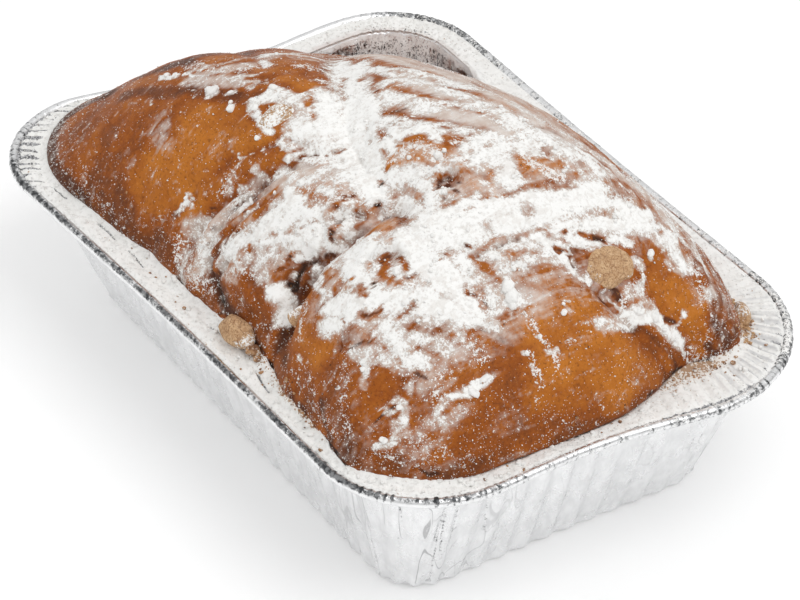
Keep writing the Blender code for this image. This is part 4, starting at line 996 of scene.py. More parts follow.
# Pits, torn edges and cracks, crisp and dark: painted shade in these hollows.
DARK = (
    (1.25, 0.9, ((24, -49, 66), (26, -48, 65), (26, -46, 69), (26, -45, 71))),
    (0.8, 0.7, ((26, -45, 72), (28, -42, 73), (32, -39, 76))),
    (1, 0.9, ((30, -39, 83), (31, -40, 81))),
    (0.9, 0.6, ((27, -35, 83), (29, -33, 86))),
    (1, 0.6, ((32, -30, 86), (32, -27, 88), (33, -26, 88))),
    (1.15, 0.6, ((42, -14, 93), (39, -11, 94), (40, -9, 94), (44, -8, 95))),
    (1, 0.7, ((41, -10, 93), (43, -11, 94), (46, -10, 94))),
    (1.05, 0.6, ((51, -37, 84), (50, -36, 85), (50, -34, 85), (53, -32, 86))),
    (1, 0.5, ((59, -34, 84), (60, -32, 85))),
    (2, 0.5, ((27, -21, 90), (27, -22, 89))),
    (2.2, 0.6, ((54, -41, 82), (55, -41, 81))),
    (1.6, 0.4, ((12, -15, 92),)),
    (1.6, 0.4, ((-26, -27, 89),)),
    (1.4, 0.3, ((-38, -53, 68),)),
    (1.5, 0.4, ((22, -47, 73),)),
    (0.8, 0.6, ((24, -37, 85), (26, -35, 87))),
    (0.8, 0.5, ((24, -32, 88), (26, -29, 88))),
    (0.55, 0.4, ((70, 9, 83), (72, 7, 81), (74, 8, 79))),
    (1.1, 0.7, ((68, 18, 82), (69, 20, 81))),
    (1.1, 0.5, ((66, 10, 86),)),
    (1, 0.5, ((67, 14, 84), (67, 15, 84))),
    (1, 0.5, ((69, 5, 84), (70, 7, 83))),
    (1.25, 1.1, ((79, 16, 75), (80, 17, 72), (81, 17, 71))),
    (0.7, 0.5, ((80, 11, 73), (81, 13, 70))),
    (1.2, 0.8, ((85, 29, 62), (85, 32, 60))),
    (0.9, 0.4, ((85, 34, 61), (84, 35, 64))),
    (0.9, 0.4, ((63, -15, 86), (64, -11, 86), (64, -7, 87), (64, -3, 87))),
    (1.2, 0.5, ((71, -23, 82), (72, -21, 81))),
    (1.3, 0.7, ((74, -20, 80), (76, -19, 79))),
    (1.3, 0.4, ((79, -56, 59), (79, -54, 61), (80, -51, 63))),
    (2, 0.5, ((65, -63, 49), (69, -64, 49), (73, -64, 49))),
    (1.6, 0.4, ((72, -64, 49), (74, -64, 49))),
    (1.4, 0.7, ((31, -59, 49), (35, -60, 48))),
    (0.55, 0.3, ((6, -59, 51), (9, -59, 48), (14, -59, 48))),
    (1.1, 0.5, ((17, -58, 49), (24, -58, 50), (29, -59, 50))),
    (1.2, 0.4, ((-4, -42, 75), (-2, -45, 75), (1, -42, 80))),
    (1.2, 0.4, ((1, -51, 71), (0, -53, 67), (2, -56, 64))),
    (1.2, 0.3, ((-9, -52, 66), (-9, -54, 63), (-7, -55, 60))),
    (1.1, 0.3, ((-7, -45, 72), (-8, -48, 67))),
    (1.1, 0.3, ((3, -47, 75), (3, -51, 72), (2, -52, 69))),
    (1.2, 0.4, ((0, -48, 74), (1, -48, 75))),
    (0.9, 0.4, ((8, -7, 96), (10, -3, 97))),
    (1, 0.5, ((12, -10, 95), (15, -7, 97))),
    (0.9, 0.5, ((-5, -4, 94), (-4, -3, 95))),
    (0.9, 0.5, ((57, -47, 77), (60, -46, 77), (61, -43, 79))),
    (0.8, 0.5, ((65, -40, 78), (66, -36, 80))),
    (1, 0.4, ((54, -50, 74), (55, -50, 74))),
    (0.7, 0.4, ((8, -59, 51), (5, -60, 48))),
    (1, 0.5, ((92, -51, 51), (94, -50, 50), (95, -47, 50))),
    (0.9, 0.6, ((78, -44, 70), (81, -42, 69))),
    (0.9, 0.4, ((61, -53, 70), (63, -50, 72), (65, -48, 73))),
    (1.3, 0.4, ((90, 33, 48), (90, 37, 48), (91, 41, 48))),
    (1.1, 0.4, ((91, 42, 48), (92, 44, 47))),
    (1.5, 0.5, ((96, 17, 49), (95, 21, 49), (92, 27, 49), (90, 32, 48))),
    (1, 0.3, ((-17, -50, 65), (-15, -48, 67), (-14, -46, 69))),
    (0.9, 0.3, ((8, -21, 89), (6, -24, 88), (5, -26, 87))),
    (0.9, 0.3, ((60, -25, 87), (59, -21, 88))),
    (0.8, 0.4, ((61, -16, 88), (59, -17, 88))),
    (0.9, 0.4, ((21, -43, 80), (24, -40, 83))),
    (0.9, 0.4, ((27, -42, 80), (24, -43, 80))),
    (1, 0.4, ((22, -48, 72), (22, -46, 74), (24, -45, 75))),
    (0.8, 0.6, ((21, -50, 69), (22, -49, 70))),
    (0.9, 0.5, ((0, -30, 85), (3, -27, 86))),
    (0.8, 0.3, ((0, -30, 85), (-1, -33, 83), (-1, -35, 82), (-2, -37, 80))),
    (0.8, 0.2, ((28, -33, 87), (27, -31, 87), (27, -28, 88))),
    (0.8, 0.2, ((43, -25, 89), (44, -28, 89), (43, -31, 88))),
    (0.8, 0.2, ((39, -18, 92), (42, -17, 92), (45, -18, 92))),
    (0.8, 0.2, ((69, -8, 85), (71, -6, 84), (74, -6, 83))),
    (0.8, 0.2, ((15, 14, 97), (19, 16, 97), (25, 18, 97))),
    (0.7, 0.2, ((31, 32, 90), (36, 34, 89), (38, 40, 84))),
    (0.8, 0.2, ((-40, 4, 81), (-30, -5, 87), (-23, -8, 89))),
    (0.8, 0.2, ((-26, 2, 86), (-19, -5, 89), (-13, -7, 90))),
    (0.8, 0.2, ((-16, -17, 91), (-13, -18, 91), (-10, -20, 91))),
    (0.8, 0.2, ((-9, -25, 90), (-6, -25, 90))),
    (0.7, 0.2, ((11, -42, 83), (10, -44, 80), (7, -46, 77))),
    (0.7, 0.2, ((10, -50, 72), (9, -52, 70), (11, -53, 69))),
    (0.8, 0.2, ((24, -38, 85), (26, -38, 84))),
    (0.8, 0.2, ((81, 17, 72), (82, 18, 70), (83, 17, 69))),
    (0.8, 0.2, ((71, 15, 81), (73, 12, 81), (74, 12, 79))),
    (1.3, 0.5, ((32, -29, 86), (32, -27, 88), (33, -26, 88))),
    (1.2, 0.5, ((34, -25, 90), (36, -25, 87), (36, -26, 85))),
    (1, 0.4, ((32, -35, 84), (31, -32, 85), (33, -32, 85))),
    (1.1, 0.6, ((30, -39, 83), (32, -39, 79), (31, -41, 76))),
    (0.9, 0.4, ((26, -39, 82), (27, -41, 80))),
    (1.1, 0.4, ((25, -32, 87), (27, -34, 86), (26, -38, 86))),
    (1.2, 0.4, ((43, -15, 93), (46, -14, 93), (47, -12, 93))),
    (1.3, 0.5, ((41, -13, 94), (42, -15, 93))),
    (1, 0.4, ((65, -37, 81), (65, -35, 81), (68, -34, 81))),
    (1, 0.4, ((71, -20, 82), (72, -18, 82), (74, -19, 81))),
)
# Damp sugar gone to a thin pale film.
FILM = (
    (0.42, 3.0, ((-49, -45, 75), (-45, -48, 73), (-40, -50, 72))),
    (0.25, 2.4, ((-47, -49, 72),)),
    (0.22, 2.2, ((-55, -55, 65), (-46, -55, 65))),
    (0.55, 3.2, ((73, -5, 83), (78, -5, 80), (81, -7, 77))),
    (0.4, 3.2, ((78, -36, 74), (82, -29, 73), (81, -44, 68))),
    (0.5, 2.4, ((45, 13, 95), (48, 18, 93), (53, 17, 92))),
    (0.66, 2.7, ((25, -14, 95), (29, -10, 98), (38, -8, 98), (35, -2, 98))),
    (0.66, 2.2, ((45, -4, 95), (49, -2, 94), (52, 1, 94))),
    (0.75, 2.4, ((76, -36, 75), (80, -33, 73), (82, -29, 74))),
    (0.6, 2.2, ((78, -24, 76), (81, -20, 75))),
    (0.5, 2.4, ((10, -55, 67), (16, -52, 69), (21, -48, 72))),
    (0.45, 2.4, ((-1, -50, 70), (3, -48, 75))),
    (0.4, 2.2, ((70, -44, 74), (74, -42, 73), (78, -39, 72))),
    (0.35, 1.9, ((88, -39, 65), (90, -37, 64), (91, -40, 62))),
    (0.85, 3.5, ((-52, 17, 72), (-32, 15, 83), (-24, 16, 86), (-12, 15, 91), (-7, 18, 92), (1, 20, 93), (8, 21, 94), (18, 21, 96), (24, 24, 95), (31, 25, 95))),
    (0.8, 3.2, ((37, 28, 93), (41, 31, 90), (45, 35, 87), (51, 38, 84), (53, 43, 79), (59, 46, 75))),
    (0.3, 2.7, ((-4, -48, 71), (-1, -45, 76), (2, -42, 80))),
    (0.6, 2.2, ((19, -39, 85), (24, -37, 86), (25, -32, 87))),
    (0.85, 3.8, ((7, -34, 86), (16, -31, 88), (3, -38, 83))),
    (0.7, 2.2, ((22, -30, 89), (26, -31, 88))),
    (0.95, 4.0, ((-6, 5, 95), (7, 9, 97), (19, 14, 98), (35, 20, 97), (44, 26, 93))),
    (0.95, 3.2, ((1, -4, 95), (15, 1, 98), (26, 9, 98), (36, 15, 97))),
    (0.85, 2.2, ((20, 6, 98), (25, 9, 98), (29, 11, 98))),
    (0.3, 2.7, ((79, 9, 75), (79, 0, 79), (81, 3, 77))),
    (0.75, 2.4, ((-47, -26, 85), (-44, -20, 86), (-56, -32, 80), (-48, -32, 83), (-38, -27, 87))),
    (0.45, 2.2, ((-45, -15, 85), (-40, -6, 86), (-40, 5, 80))),
    (0.2, 3.8, ((-89, -56, 52), (-82, -62, 51))),
    (0.55, 2.4, ((17, -52, 68), (21, -53, 64), (13, -52, 70))),
    (0.44, 11.8, ((22, -44, 79), (31, -30, 86), (38, -17, 92), (44, -2, 95), (53, 14, 92), (62, 30, 84))),
    (0.38, 8.1, ((46, -49, 74), (68, -42, 76), (79, -33, 74), (77, -17, 79), (76, 2, 80), (78, 13, 75))),
    (0.15, 6.5, ((67, -57, 64), (76, -56, 61), (80, -49, 64), (89, -43, 62))),
    (0.09, 5.9, ((95, -35, 58), (96, -23, 57))),
    (0.18, 4.3, ((67, -62, 54), (75, -63, 53), (85, -58, 52), (94, -47, 53))),
    (0.35, 2.4, ((77, 9, 76), (78, 12, 75))),
    (0.42, 2.4, ((81, -42, 69), (85, -40, 67), (86, -37, 68))),
    (0.72, 2.4, ((75, -10, 82), (77, -7, 80), (78, -9, 79))),
    (0.45, 2.2, ((75, 44, 70), (78, 45, 67))),
    (0.22, 2.4, ((81, 40, 67), (84, 41, 63))),
    (0.45, 2.4, ((-6, -40, 76), (5, -43, 81))),
    (0.8, 3.5, ((-17, -52, 60), (-7, -55, 60), (-8, -52, 63), (-9, -49, 68))),
    (0.6, 2.4, ((31, -19, 90), (37, -18, 91), (36, -22, 87), (45, -21, 90))),
    (0.5, 2.4, ((33, -27, 87), (41, -27, 88), (48, -26, 89))),
    (0.6, 2.2, ((63, -8, 88), (63, -2, 88), (63, -11, 87))),
    (0.6, 2.4, ((44, 23, 94), (52, 31, 89), (51, 22, 92))),
    (0.6, 2.4, ((36, 0, 98), (43, -2, 96), (40, 8, 97))),
    (0.6, 2.4, ((60, 28, 86), (65, 35, 81), (71, 39, 75))),
    (0.5, 2.7, ((40, -44, 78), (44, -40, 82), (42, -47, 76))),
    (0.4, 3.2, ((56, -51, 72), (63, -50, 72), (69, -45, 73))),
    (0.45, 2.4, ((82, -20, 74), (82, -15, 76), (77, -23, 78))),
    (0.45, 2.7, ((5, -37, 85), (1, -42, 80))),
    (0.5, 1.9, ((67, 24, 81), (69, 29, 79), (65, 19, 84))),
    (0.5, 2.2, ((22, -44, 79), (21, -48, 73), (17, -49, 73))),
    (0.4, 2.4, ((82, 23, 69), (81, 20, 71), (84, 24, 66))),
)


def brush(P, pts, r, outer=1.35, inner=0.55):
    """1 along a run of points over the crust, falling off to 0 at about the brush's radius."""
    return smooth(outer, inner, reach(P, pts) / r)


def warped(P, size, amount, seed):
    return P + amount * np.stack([fbm(P, size, 2, seed=seed + k) for k in range(3)], 1)


def paint_crust(P, fine_relief):
    """The crust's four coats at its points: sugar, grains, tone with painted shade, and film."""
    near = warped(warped(P, 9.0, 1.2, 60), 2.4, 1.1, 70)
    wide = warped(P, 12.0, 2.5, 80)
    sugar = np.full(len(P), 0.05)
    for amount, r, pts in HAZE:
        sugar = np.maximum(sugar, amount * brush(wide, pts, r, 1.5, 0.35))
    for amount, r, pts in WHITE:
        sugar = np.maximum(sugar, amount * brush(near, pts, r, 1.6, 0.35))
    # The back's flank and the left end's, as dusty as the sides that show.
    back = smooth(38, 47, P[:, 1]) * smooth(48, 60, P[:, 2])
    patches = smooth(-0.15, 0.35, fbm(P * (0.45, 1, 1), 13, 3, seed=90))
    sugar = np.maximum(sugar, back * (0.25 + 0.55 * patches))
    for amount, r, pts in BARE:
        sugar = sugar * (1 - 0.88 * amount * brush(near, pts, r, 1.45, 0.5))
    for amount, r, pts in CLUMPS:
        sugar = np.maximum(sugar, amount * brush(near, pts, r, 1.4, 0.4))
    grainy = np.full(len(P), 0.07)
    for amount, r, pts in GRAINY:
        grainy = np.maximum(grainy, amount * brush(wide, pts, r, 1.5, 0.4))
    tone_and_shade = np.zeros(len(P))
    # Baked tone, and painted shade along creases and folds.
    for amount, r, pts in TONE_AND_SHADE:
        v = brush(wide, pts, r * 1.25, 1.4, 0.3)
        tone_and_shade = tone_and_shade * (1 - v) + amount * v
    # Painted shade along the grooves: darker where they cut deeper.
    for depth, r, pts in GROOVES:
        tone_and_shade = tone_and_shade - 0.22 * max(depth, 0) ** 0.6 * brush(P, pts, r * 1.3, 1.4, 0.3)
    crisp = warped(P, 2.0, 0.45, 85)
    pit = np.zeros(len(P))
    # Painted shade in the pits, torn edges and cracks.
    for amount, r, pts in DARK:
        v = brush(crisp, pts, r, 1.35, 0.45)
        tone_and_shade = tone_and_shade - amount * 1.25 * v
        pit = np.maximum(pit, min(amount, 1.0) * v)
    film = np.zeros(len(P))
    for amount, r, pts in FILM:
        film = np.maximum(film, amount * brush(wide, pts, r * 1.2, 1.5, 0.3))
    # Damp all along the back.
    edge = 10 + 0.2 * (P[:, 0] + 30)
    rear = smooth(edge, edge + 8, P[:, 1]) * smooth(50, 58, P[:, 2]) * smooth(-78, -55, P[:, 0]) * smooth(78, 64, P[:, 0])
    film = np.maximum(film, rear * (0.70 + 0.25 * patches) * (1 - 0.7 * smooth(26, 40, P[:, 1]) * (1 - patches)))
    film = film * (1 - 0.85 * pit)
    # Low down near the tin the steep sides are darker and dustier.
    low = smooth(66, 52, P[:, 2])
    tone_and_shade = tone_and_shade - 0.35 * low * smooth(0.0, 0.5, fbm(P, 20, 2, seed=95) + 0.4)
    # Painted highlight on what stands out and painted shade in the hollows.
    tone_and_shade = tone_and_shade + np.clip(fine_relief, -1.2, 0.8) * 0.45
    grainy = np.maximum(grainy, 0.24 * low)
    return sugar, grainy, tone_and_shade, film


# ------------------------------------------------------------------ materials
def new_material(name, rough=0.5, metal=0.0):
    mat = bpy.data.materials.new(name)
    mat.use_nodes = True
    nt = mat.node_tree
    shader = nt.nodes["Principled BSDF"]
    shader.inputs["Roughness"].default_value = rough
    shader.inputs["Metallic"].default_value = metal
    return mat, nt, shader


class Net:
    """A few words for wiring shader nodes."""

    def __init__(self, nt):
        self.nt = nt
        self.coord = nt.nodes.new("ShaderNodeTexCoord").outputs["Object"]

    def node(self, kind, **inputs):
        n = self.nt.nodes.new(kind)
        for key, value in inputs.items():
            self.put(n.inputs[key] if not key.isdigit() else n.inputs[int(key)], value)
        return n

    def put(self, socket, value):
        if isinstance(value, bpy.types.NodeSocket):
            self.nt.links.new(value, socket)
        elif value is not None:
            socket.default_value = value

    def attr(self, name):
        n = self.nt.nodes.new("ShaderNodeAttribute")
        n.attribute_name = name
        return n.outputs["Fac"]

    def noise(self, size_mm, detail=3.0, rough=0.55, vector=None, distortion=0.0, stretch=None):
        vector = vector or self.coord
        if stretch:
            m = self.nt.nodes.new("ShaderNodeMapping")
            m.inputs["Scale"].default_value = stretch
            self.nt.links.new(vector, m.inputs["Vector"])
            vector = m.outputs["Vector"]
        n = self.node("ShaderNodeTexNoise", Vector=vector)
        n.inputs["Scale"].default_value = 1000.0 / size_mm
        n.inputs["Detail"].default_value = detail
        n.inputs["Roughness"].default_value = rough
        n.inputs["Distortion"].default_value = distortion
        return n.outputs["Fac"]

    def voronoi(self, size_mm, feature="F1", out="Distance"):
        n = self.nt.nodes.new("ShaderNodeTexVoronoi")
        n.feature = feature
        self.nt.links.new(self.coord, n.inputs["Vector"])
        n.inputs["Scale"].default_value = 1000.0 / size_mm
        return n.outputs[out]

    def cells(self, size_mm):
        """One even random number for every little cell."""
        n = self.nt.nodes.new("ShaderNodeTexVoronoi")
        self.nt.links.new(self.coord, n.inputs["Vector"])
        n.inputs["Scale"].default_value = 1000.0 / size_mm
        cell = self.nt.nodes.new("ShaderNodeSeparateColor")
        self.nt.links.new(n.outputs["Color"], cell.inputs[0])
        return cell.outputs[0]

    def math(self, op, a, b=None, c=None, clamp=False):
        n = self.nt.nodes.new("ShaderNodeMath")
        n.operation = op
        n.use_clamp = clamp
        self.put(n.inputs[0], a)
        if b is not None:
            self.put(n.inputs[1], b)
        if c is not None:
            self.put(n.inputs[2], c)
        return n.outputs[0]

    def ramp(self, value, low, high, to_low=0.0, to_high=1.0, kind="SMOOTHSTEP"):
        n = self.nt.nodes.new("ShaderNodeMapRange")
        n.interpolation_type = kind
        self.put(n.inputs["Value"], value)
        self.put(n.inputs["From Min"], low)
        self.put(n.inputs["From Max"], high)
        self.put(n.inputs["To Min"], to_low)
        self.put(n.inputs["To Max"], to_high)
        return n.outputs["Result"]

    def mix(self, fac, a, b):
        n = self.nt.nodes.new("ShaderNodeMix")
        n.data_type = "RGBA"
        self.put(n.inputs[0], fac)
        self.put(n.inputs[6], a if isinstance(a, bpy.types.NodeSocket) else (*a, 1.0))
        self.put(n.inputs[7], b if isinstance(b, bpy.types.NodeSocket) else (*b, 1.0))
        return n.outputs[2]

    def bump(self, height, strength, distance_mm, normal=None):
        n = self.nt.nodes.new("ShaderNodeBump")
        n.inputs["Strength"].default_value = strength
        n.inputs["Distance"].default_value = distance_mm * MM
        self.put(n.inputs["Height"], height)
        if normal is not None:
            self.put(n.inputs["Normal"], normal)
        return n.outputs["Normal"]


SUGAR = (0.93, 0.925, 0.905)


def crust_material():
    mat, nt, shader = new_material("crust", 0.5)
    n = Net(nt)
    sugar, grainy, tone_and_shade, film = (n.attr(k) for k in ("sugar", "grainy", "tone_and_shade", "film"))

    def sway(noise, by):
        return n.math("MULTIPLY", n.math("SUBTRACT", noise, 0.5), by)

    def add(*parts):
        total = parts[0]
        for p in parts[1:]:
            total = n.math("ADD", total, p)
        return total

    # Crumb colour: baked tone with painted shade, with blotches, streaks and pores.
    mottle = n.noise(2.4, 5, 0.65)
    streak = n.noise(5.0, 3, 0.6, stretch=(1.0, 0.45, 0.3))
    t = add(tone_and_shade, sway(n.noise(14, 3, 0.5), 1.8), sway(mottle, 1.3), sway(streak, 1.0))
    gold = n.mix(n.ramp(t, -0.15, 0.9, kind="LINEAR"), (0.300, 0.076, 0.0080), (0.490, 0.162, 0.0185))
    brown = n.mix(n.ramp(t, -0.10, -1.10, kind="LINEAR"), gold, (0.100, 0.030, 0.0125))
    brown = n.mix(n.ramp(t, -1.25, -2.2, kind="LINEAR"), brown, (0.022, 0.010, 0.006))
    pores = n.noise(0.8, 4, 0.7)
    colour = n.mix(n.math("MULTIPLY", n.ramp(pores, 0.47, 0.33), 0.55), brown, (0.10, 0.026, 0.004))
    colour = n.mix(n.math("MULTIPLY", n.ramp(pores, 0.56, 0.68), 0.35), colour, (0.56, 0.22, 0.045))
    pits = n.math("MULTIPLY", n.ramp(n.voronoi(4.3), 0.10, 0.05), n.ramp(n.noise(9.0, 2), 0.55, 0.62))
    colour = n.mix(n.math("MULTIPLY", pits, 0.8), colour, (0.05, 0.016, 0.005))
    # Sugar: first a veil the crust shines through, then sugar that hides it, then loose grains.
    fine = n.noise(0.50, 4, 0.7)
    mid = n.noise(1.9, 5, 0.62)
    across = n.noise(2.6, 4, 0.62, stretch=(1.0, 0.16, 0.5), distortion=0.35)
    along_x = n.noise(2.6, 4, 0.62, stretch=(0.16, 1.0, 0.6), distortion=0.35)
    grain = n.mix(n.attr("back"), across, along_x)
    small, smaller = n.cells(0.75), n.cells(0.42)
    # Where it lies thick it is even; where it thins out it is streaked and speckled.
    lively = n.ramp(sugar, 1.0, 0.72, 0.35, 1.0)
    body = add(sugar, n.math("MULTIPLY", lively, add(sway(mid, 1.2), sway(grain, 1.7))))
    calm = n.math("MULTIPLY", n.ramp(film, 0.35, 1.0, 1.0, 0.42), n.ramp(film, 0.05, 0.45, 0.40, 1.0))
    thin = add(film, n.math("MULTIPLY", calm, add(sway(mid, 1.2), sway(grain, 2.0))))
    veil = n.math("MAXIMUM", n.math("MULTIPLY", n.ramp(body, 0.15, 0.80), 0.72),
                  n.math("MULTIPLY", n.ramp(thin, 0.12, 0.95, kind="LINEAR"), 0.93))
    # It thins out softly round the sugar.
    veil = n.math("MAXIMUM", veil, n.math("MULTIPLY", n.ramp(body, -0.02, 0.70), n.ramp(sugar, 0.08, 0.38, 0.0, 0.84)))
    pale = n.mix(n.ramp(n.noise(3.0, 3), 0.4, 0.6), (0.655, 0.575, 0.515), (0.74, 0.69, 0.645))
    colour = n.mix(veil, colour, pale)
    dither = add(sway(fine, 1.6), sway(small, 0.40), sway(smaller, 0.40))
    solid = n.ramp(add(body, n.math("MULTIPLY", lively, dither)), 0.53, 0.82)
    dusty = n.ramp(add(n.math("MULTIPLY", grainy, 0.75), sway(fine, 1.6), sway(mid, 1.8), sway(small, 0.5),
                       sway(smaller, 0.55)), 0.66, 0.82)
    white = n.math("MAXIMUM", solid, n.math("MULTIPLY", dusty, 0.85))
    for size, low, high, share in ((0.50, 0.22, 0.34, 0.16), (0.85, 0.16, 0.22, 0.05)):
        wanted = n.math("MULTIPLY", add(grainy, n.math("MULTIPLY", sugar, 0.4), sway(mid, 1.2)), share)
        here = n.math("LESS_THAN", n.cells(size), wanted)
        white = n.math("MAXIMUM", white, n.math("MULTIPLY", n.ramp(n.voronoi(size), high, low), here))
    fleck = n.math("MULTIPLY", n.ramp(n.noise(0.95, 3, 0.7), 0.385, 0.335), n.ramp(sugar, 1.0, 0.80))
    white = n.math("MULTIPLY", white, n.math("SUBTRACT", 1.0, n.math("MULTIPLY", fleck, 0.75)))
    powder = n.mix(n.ramp(n.noise(1.2, 4, 0.65), 0.36, 0.50), (0.80, 0.785, 0.755), SUGAR)
    powder = n.mix(n.math("MULTIPLY", n.ramp(add(grain, sway(mid, 1.0)), 0.50, 0.34), 0.5), powder, (0.76, 0.725, 0.685))
    colour = n.mix(white, colour, powder)
    n.put(shader.inputs["Base Color"], colour)
    rough = n.ramp(n.noise(4.0, 3), 0.35, 0.65, 0.42, 0.58)
    matt = n.math("MAXIMUM", white, veil)
    n.put(shader.inputs["Roughness"], add(n.math("MULTIPLY", rough, n.math("SUBTRACT", 1.0, matt)),
                                          n.math("MULTIPLY", matt, 0.92)))
    shader.inputs["Specular IOR Level"].default_value = 0.15
    skin = n.bump(add(n.math("MULTIPLY", pores, 0.7), mottle), 0.35, 0.35)
    lumps = n.bump(add(white, n.math("MULTIPLY", fine, 0.8)), 0.5, 0.25, skin)
    n.put(shader.inputs["Normal"], lumps)
    return mat


def sugar_material(name="sugar"):
    """Loose sugar; foil shows where the layer is thin, and painted shade greys it in the furrows."""
    mat, nt, shader = new_material(name, 0.9)
    n = Net(nt)
    thin = n.attr("thin")
    fine = n.noise(0.6, 5, 0.75)
    mid = n.noise(2.2, 4, 0.6)
    shade = n.mix(n.ramp(n.noise(1.4, 4, 0.6), 0.33, 0.52), (0.78, 0.77, 0.745), (0.91, 0.903, 0.882))
    shade = n.mix(n.math("MULTIPLY", n.ramp(n.noise(9.0, 2), 0.45, 0.65), 0.4), shade, (0.80, 0.79, 0.765))
    # Painted shade: grey in the furrows, on the folds' shaded flanks, along the left corner's ticks and under the front
    # fold's overhang.
    shade = n.mix(n.ramp(n.math("ADD", n.attr("painted_shade"), n.math("MULTIPLY", n.math("SUBTRACT", mid, 0.5), 0.8)), 0.25, 1.0, 0.0, 0.75),
                  shade, (0.52, 0.52, 0.53))
    m = n.math("ADD", thin, n.math("MULTIPLY", n.math("SUBTRACT", fine, 0.5), 1.3))
    m = n.math("ADD", m, n.math("MULTIPLY", n.math("SUBTRACT", mid, 0.5), 0.6))
    bare = n.ramp(m, 0.52, 0.66)
    grey = n.mix(n.ramp(n.noise(0.8, 3, 0.7), 0.4, 0.6), (0.10, 0.10, 0.105), (0.50, 0.50, 0.51))
    dirt = n.math("ADD", n.attr("crumbs"), n.math("MULTIPLY", n.math("SUBTRACT", mid, 0.5), 1.6))
    dirt = n.math("ADD", dirt, n.math("MULTIPLY", n.math("SUBTRACT", n.cells(0.45), 0.5), 1.0))
    colour = n.mix(bare, shade, grey)
    colour = n.mix(n.math("MULTIPLY", n.ramp(n.attr("crumbs"), 0.15, 0.9), 0.35), colour, (0.66, 0.50, 0.36))
    colour = n.mix(n.math("MULTIPLY", n.ramp(dirt, 0.62, 0.80), 0.85), colour, (0.36, 0.19, 0.085))
    n.put(shader.inputs["Base Color"], colour)
    shader.inputs["Specular IOR Level"].default_value = 0.2
    n.put(shader.inputs["Normal"], n.bump(n.math("ADD", fine, mid), 0.6, 0.3))
    return mat


def foil_material():
    mat, nt, shader = new_material("foil", 0.35, 1.0)
    n = Net(nt)
    dust, dark = n.attr("dust"), n.attr("dark")
    fine = n.noise(0.55, 5, 0.75)
    crinkle = n.noise(3.2, 5, 0.65, stretch=(1, 1, 0.35))
    metal = n.mix(n.ramp(crinkle, 0.35, 0.65), (0.80, 0.803, 0.807), (0.89, 0.893, 0.897))
    # Dark grey: real specks, with painted shade in the crimps and creases and a painted reflection stripe along the
    # bead.
    d = n.math("ADD", dark, n.math("MULTIPLY", n.math("SUBTRACT", n.noise(0.9, 4, 0.72), 0.5), 1.7))
    specks_shade_and_reflection = n.mix(n.ramp(n.noise(1.5, 3, 0.65), 0.40, 0.60), (0.055, 0.057, 0.060), (0.26, 0.263, 0.268))
    metal = n.mix(n.ramp(d, 0.32, 0.72), metal, specks_shade_and_reflection)
    # Hairline creases run down the wall as painted shade: dark contour lines of a noise drawn out in height.
    hair = None
    for size, tall, wide in ((5.0, 0.035, 0.012), (7.5, 0.045, 0.010), (9.0, 0.05, 0.008)):
        line = n.math("ABSOLUTE", n.math("SUBTRACT", n.noise(size, 0.6, 0.4, stretch=(1, 1, tall)), 0.5))
        line = n.math("MULTIPLY", n.ramp(line, wide, wide * 0.35), n.ramp(n.noise(size * 2.2, 2, 0.5, stretch=(1, 1, 0.35)), 0.49, 0.56))
        hair = line if hair is None else n.math("MAXIMUM", hair, line)
    metal = n.mix(n.math("MULTIPLY", hair, n.math("MULTIPLY", n.attr("crease"), 0.45)), metal, (0.14, 0.14, 0.145))
    m = n.math("ADD", dust, n.math("MULTIPLY", n.math("SUBTRACT", fine, 0.5), 1.4))
    m = n.math("ADD", m, n.math("MULTIPLY", n.math("SUBTRACT", n.noise(2.0, 4, 0.6), 0.5), 0.5))
    powder = n.ramp(m, 0.50, 0.62)
    n.put(shader.inputs["Base Color"], n.mix(powder, metal, SUGAR))
    n.put(shader.inputs["Metallic"], n.math("SUBTRACT", 1.0, powder))
    rough = n.ramp(n.noise(6.0, 3, 0.6), 0.35, 0.65, 0.24, 0.40)
    n.put(shader.inputs["Roughness"], n.math("MAXIMUM", rough, n.math("MULTIPLY", powder, 0.9)))
    tooth = n.math("ADD", n.math("MULTIPLY", n.noise(1.2, 3, 0.6), 0.6), n.noise(5.0, 3, 0.5, stretch=(1, 1, 0.3)))
    n.put(shader.inputs["Normal"], n.bump(n.math("ADD", tooth, n.math("MULTIPLY", powder, 0.5)), 0.30, 0.30))
    return mat


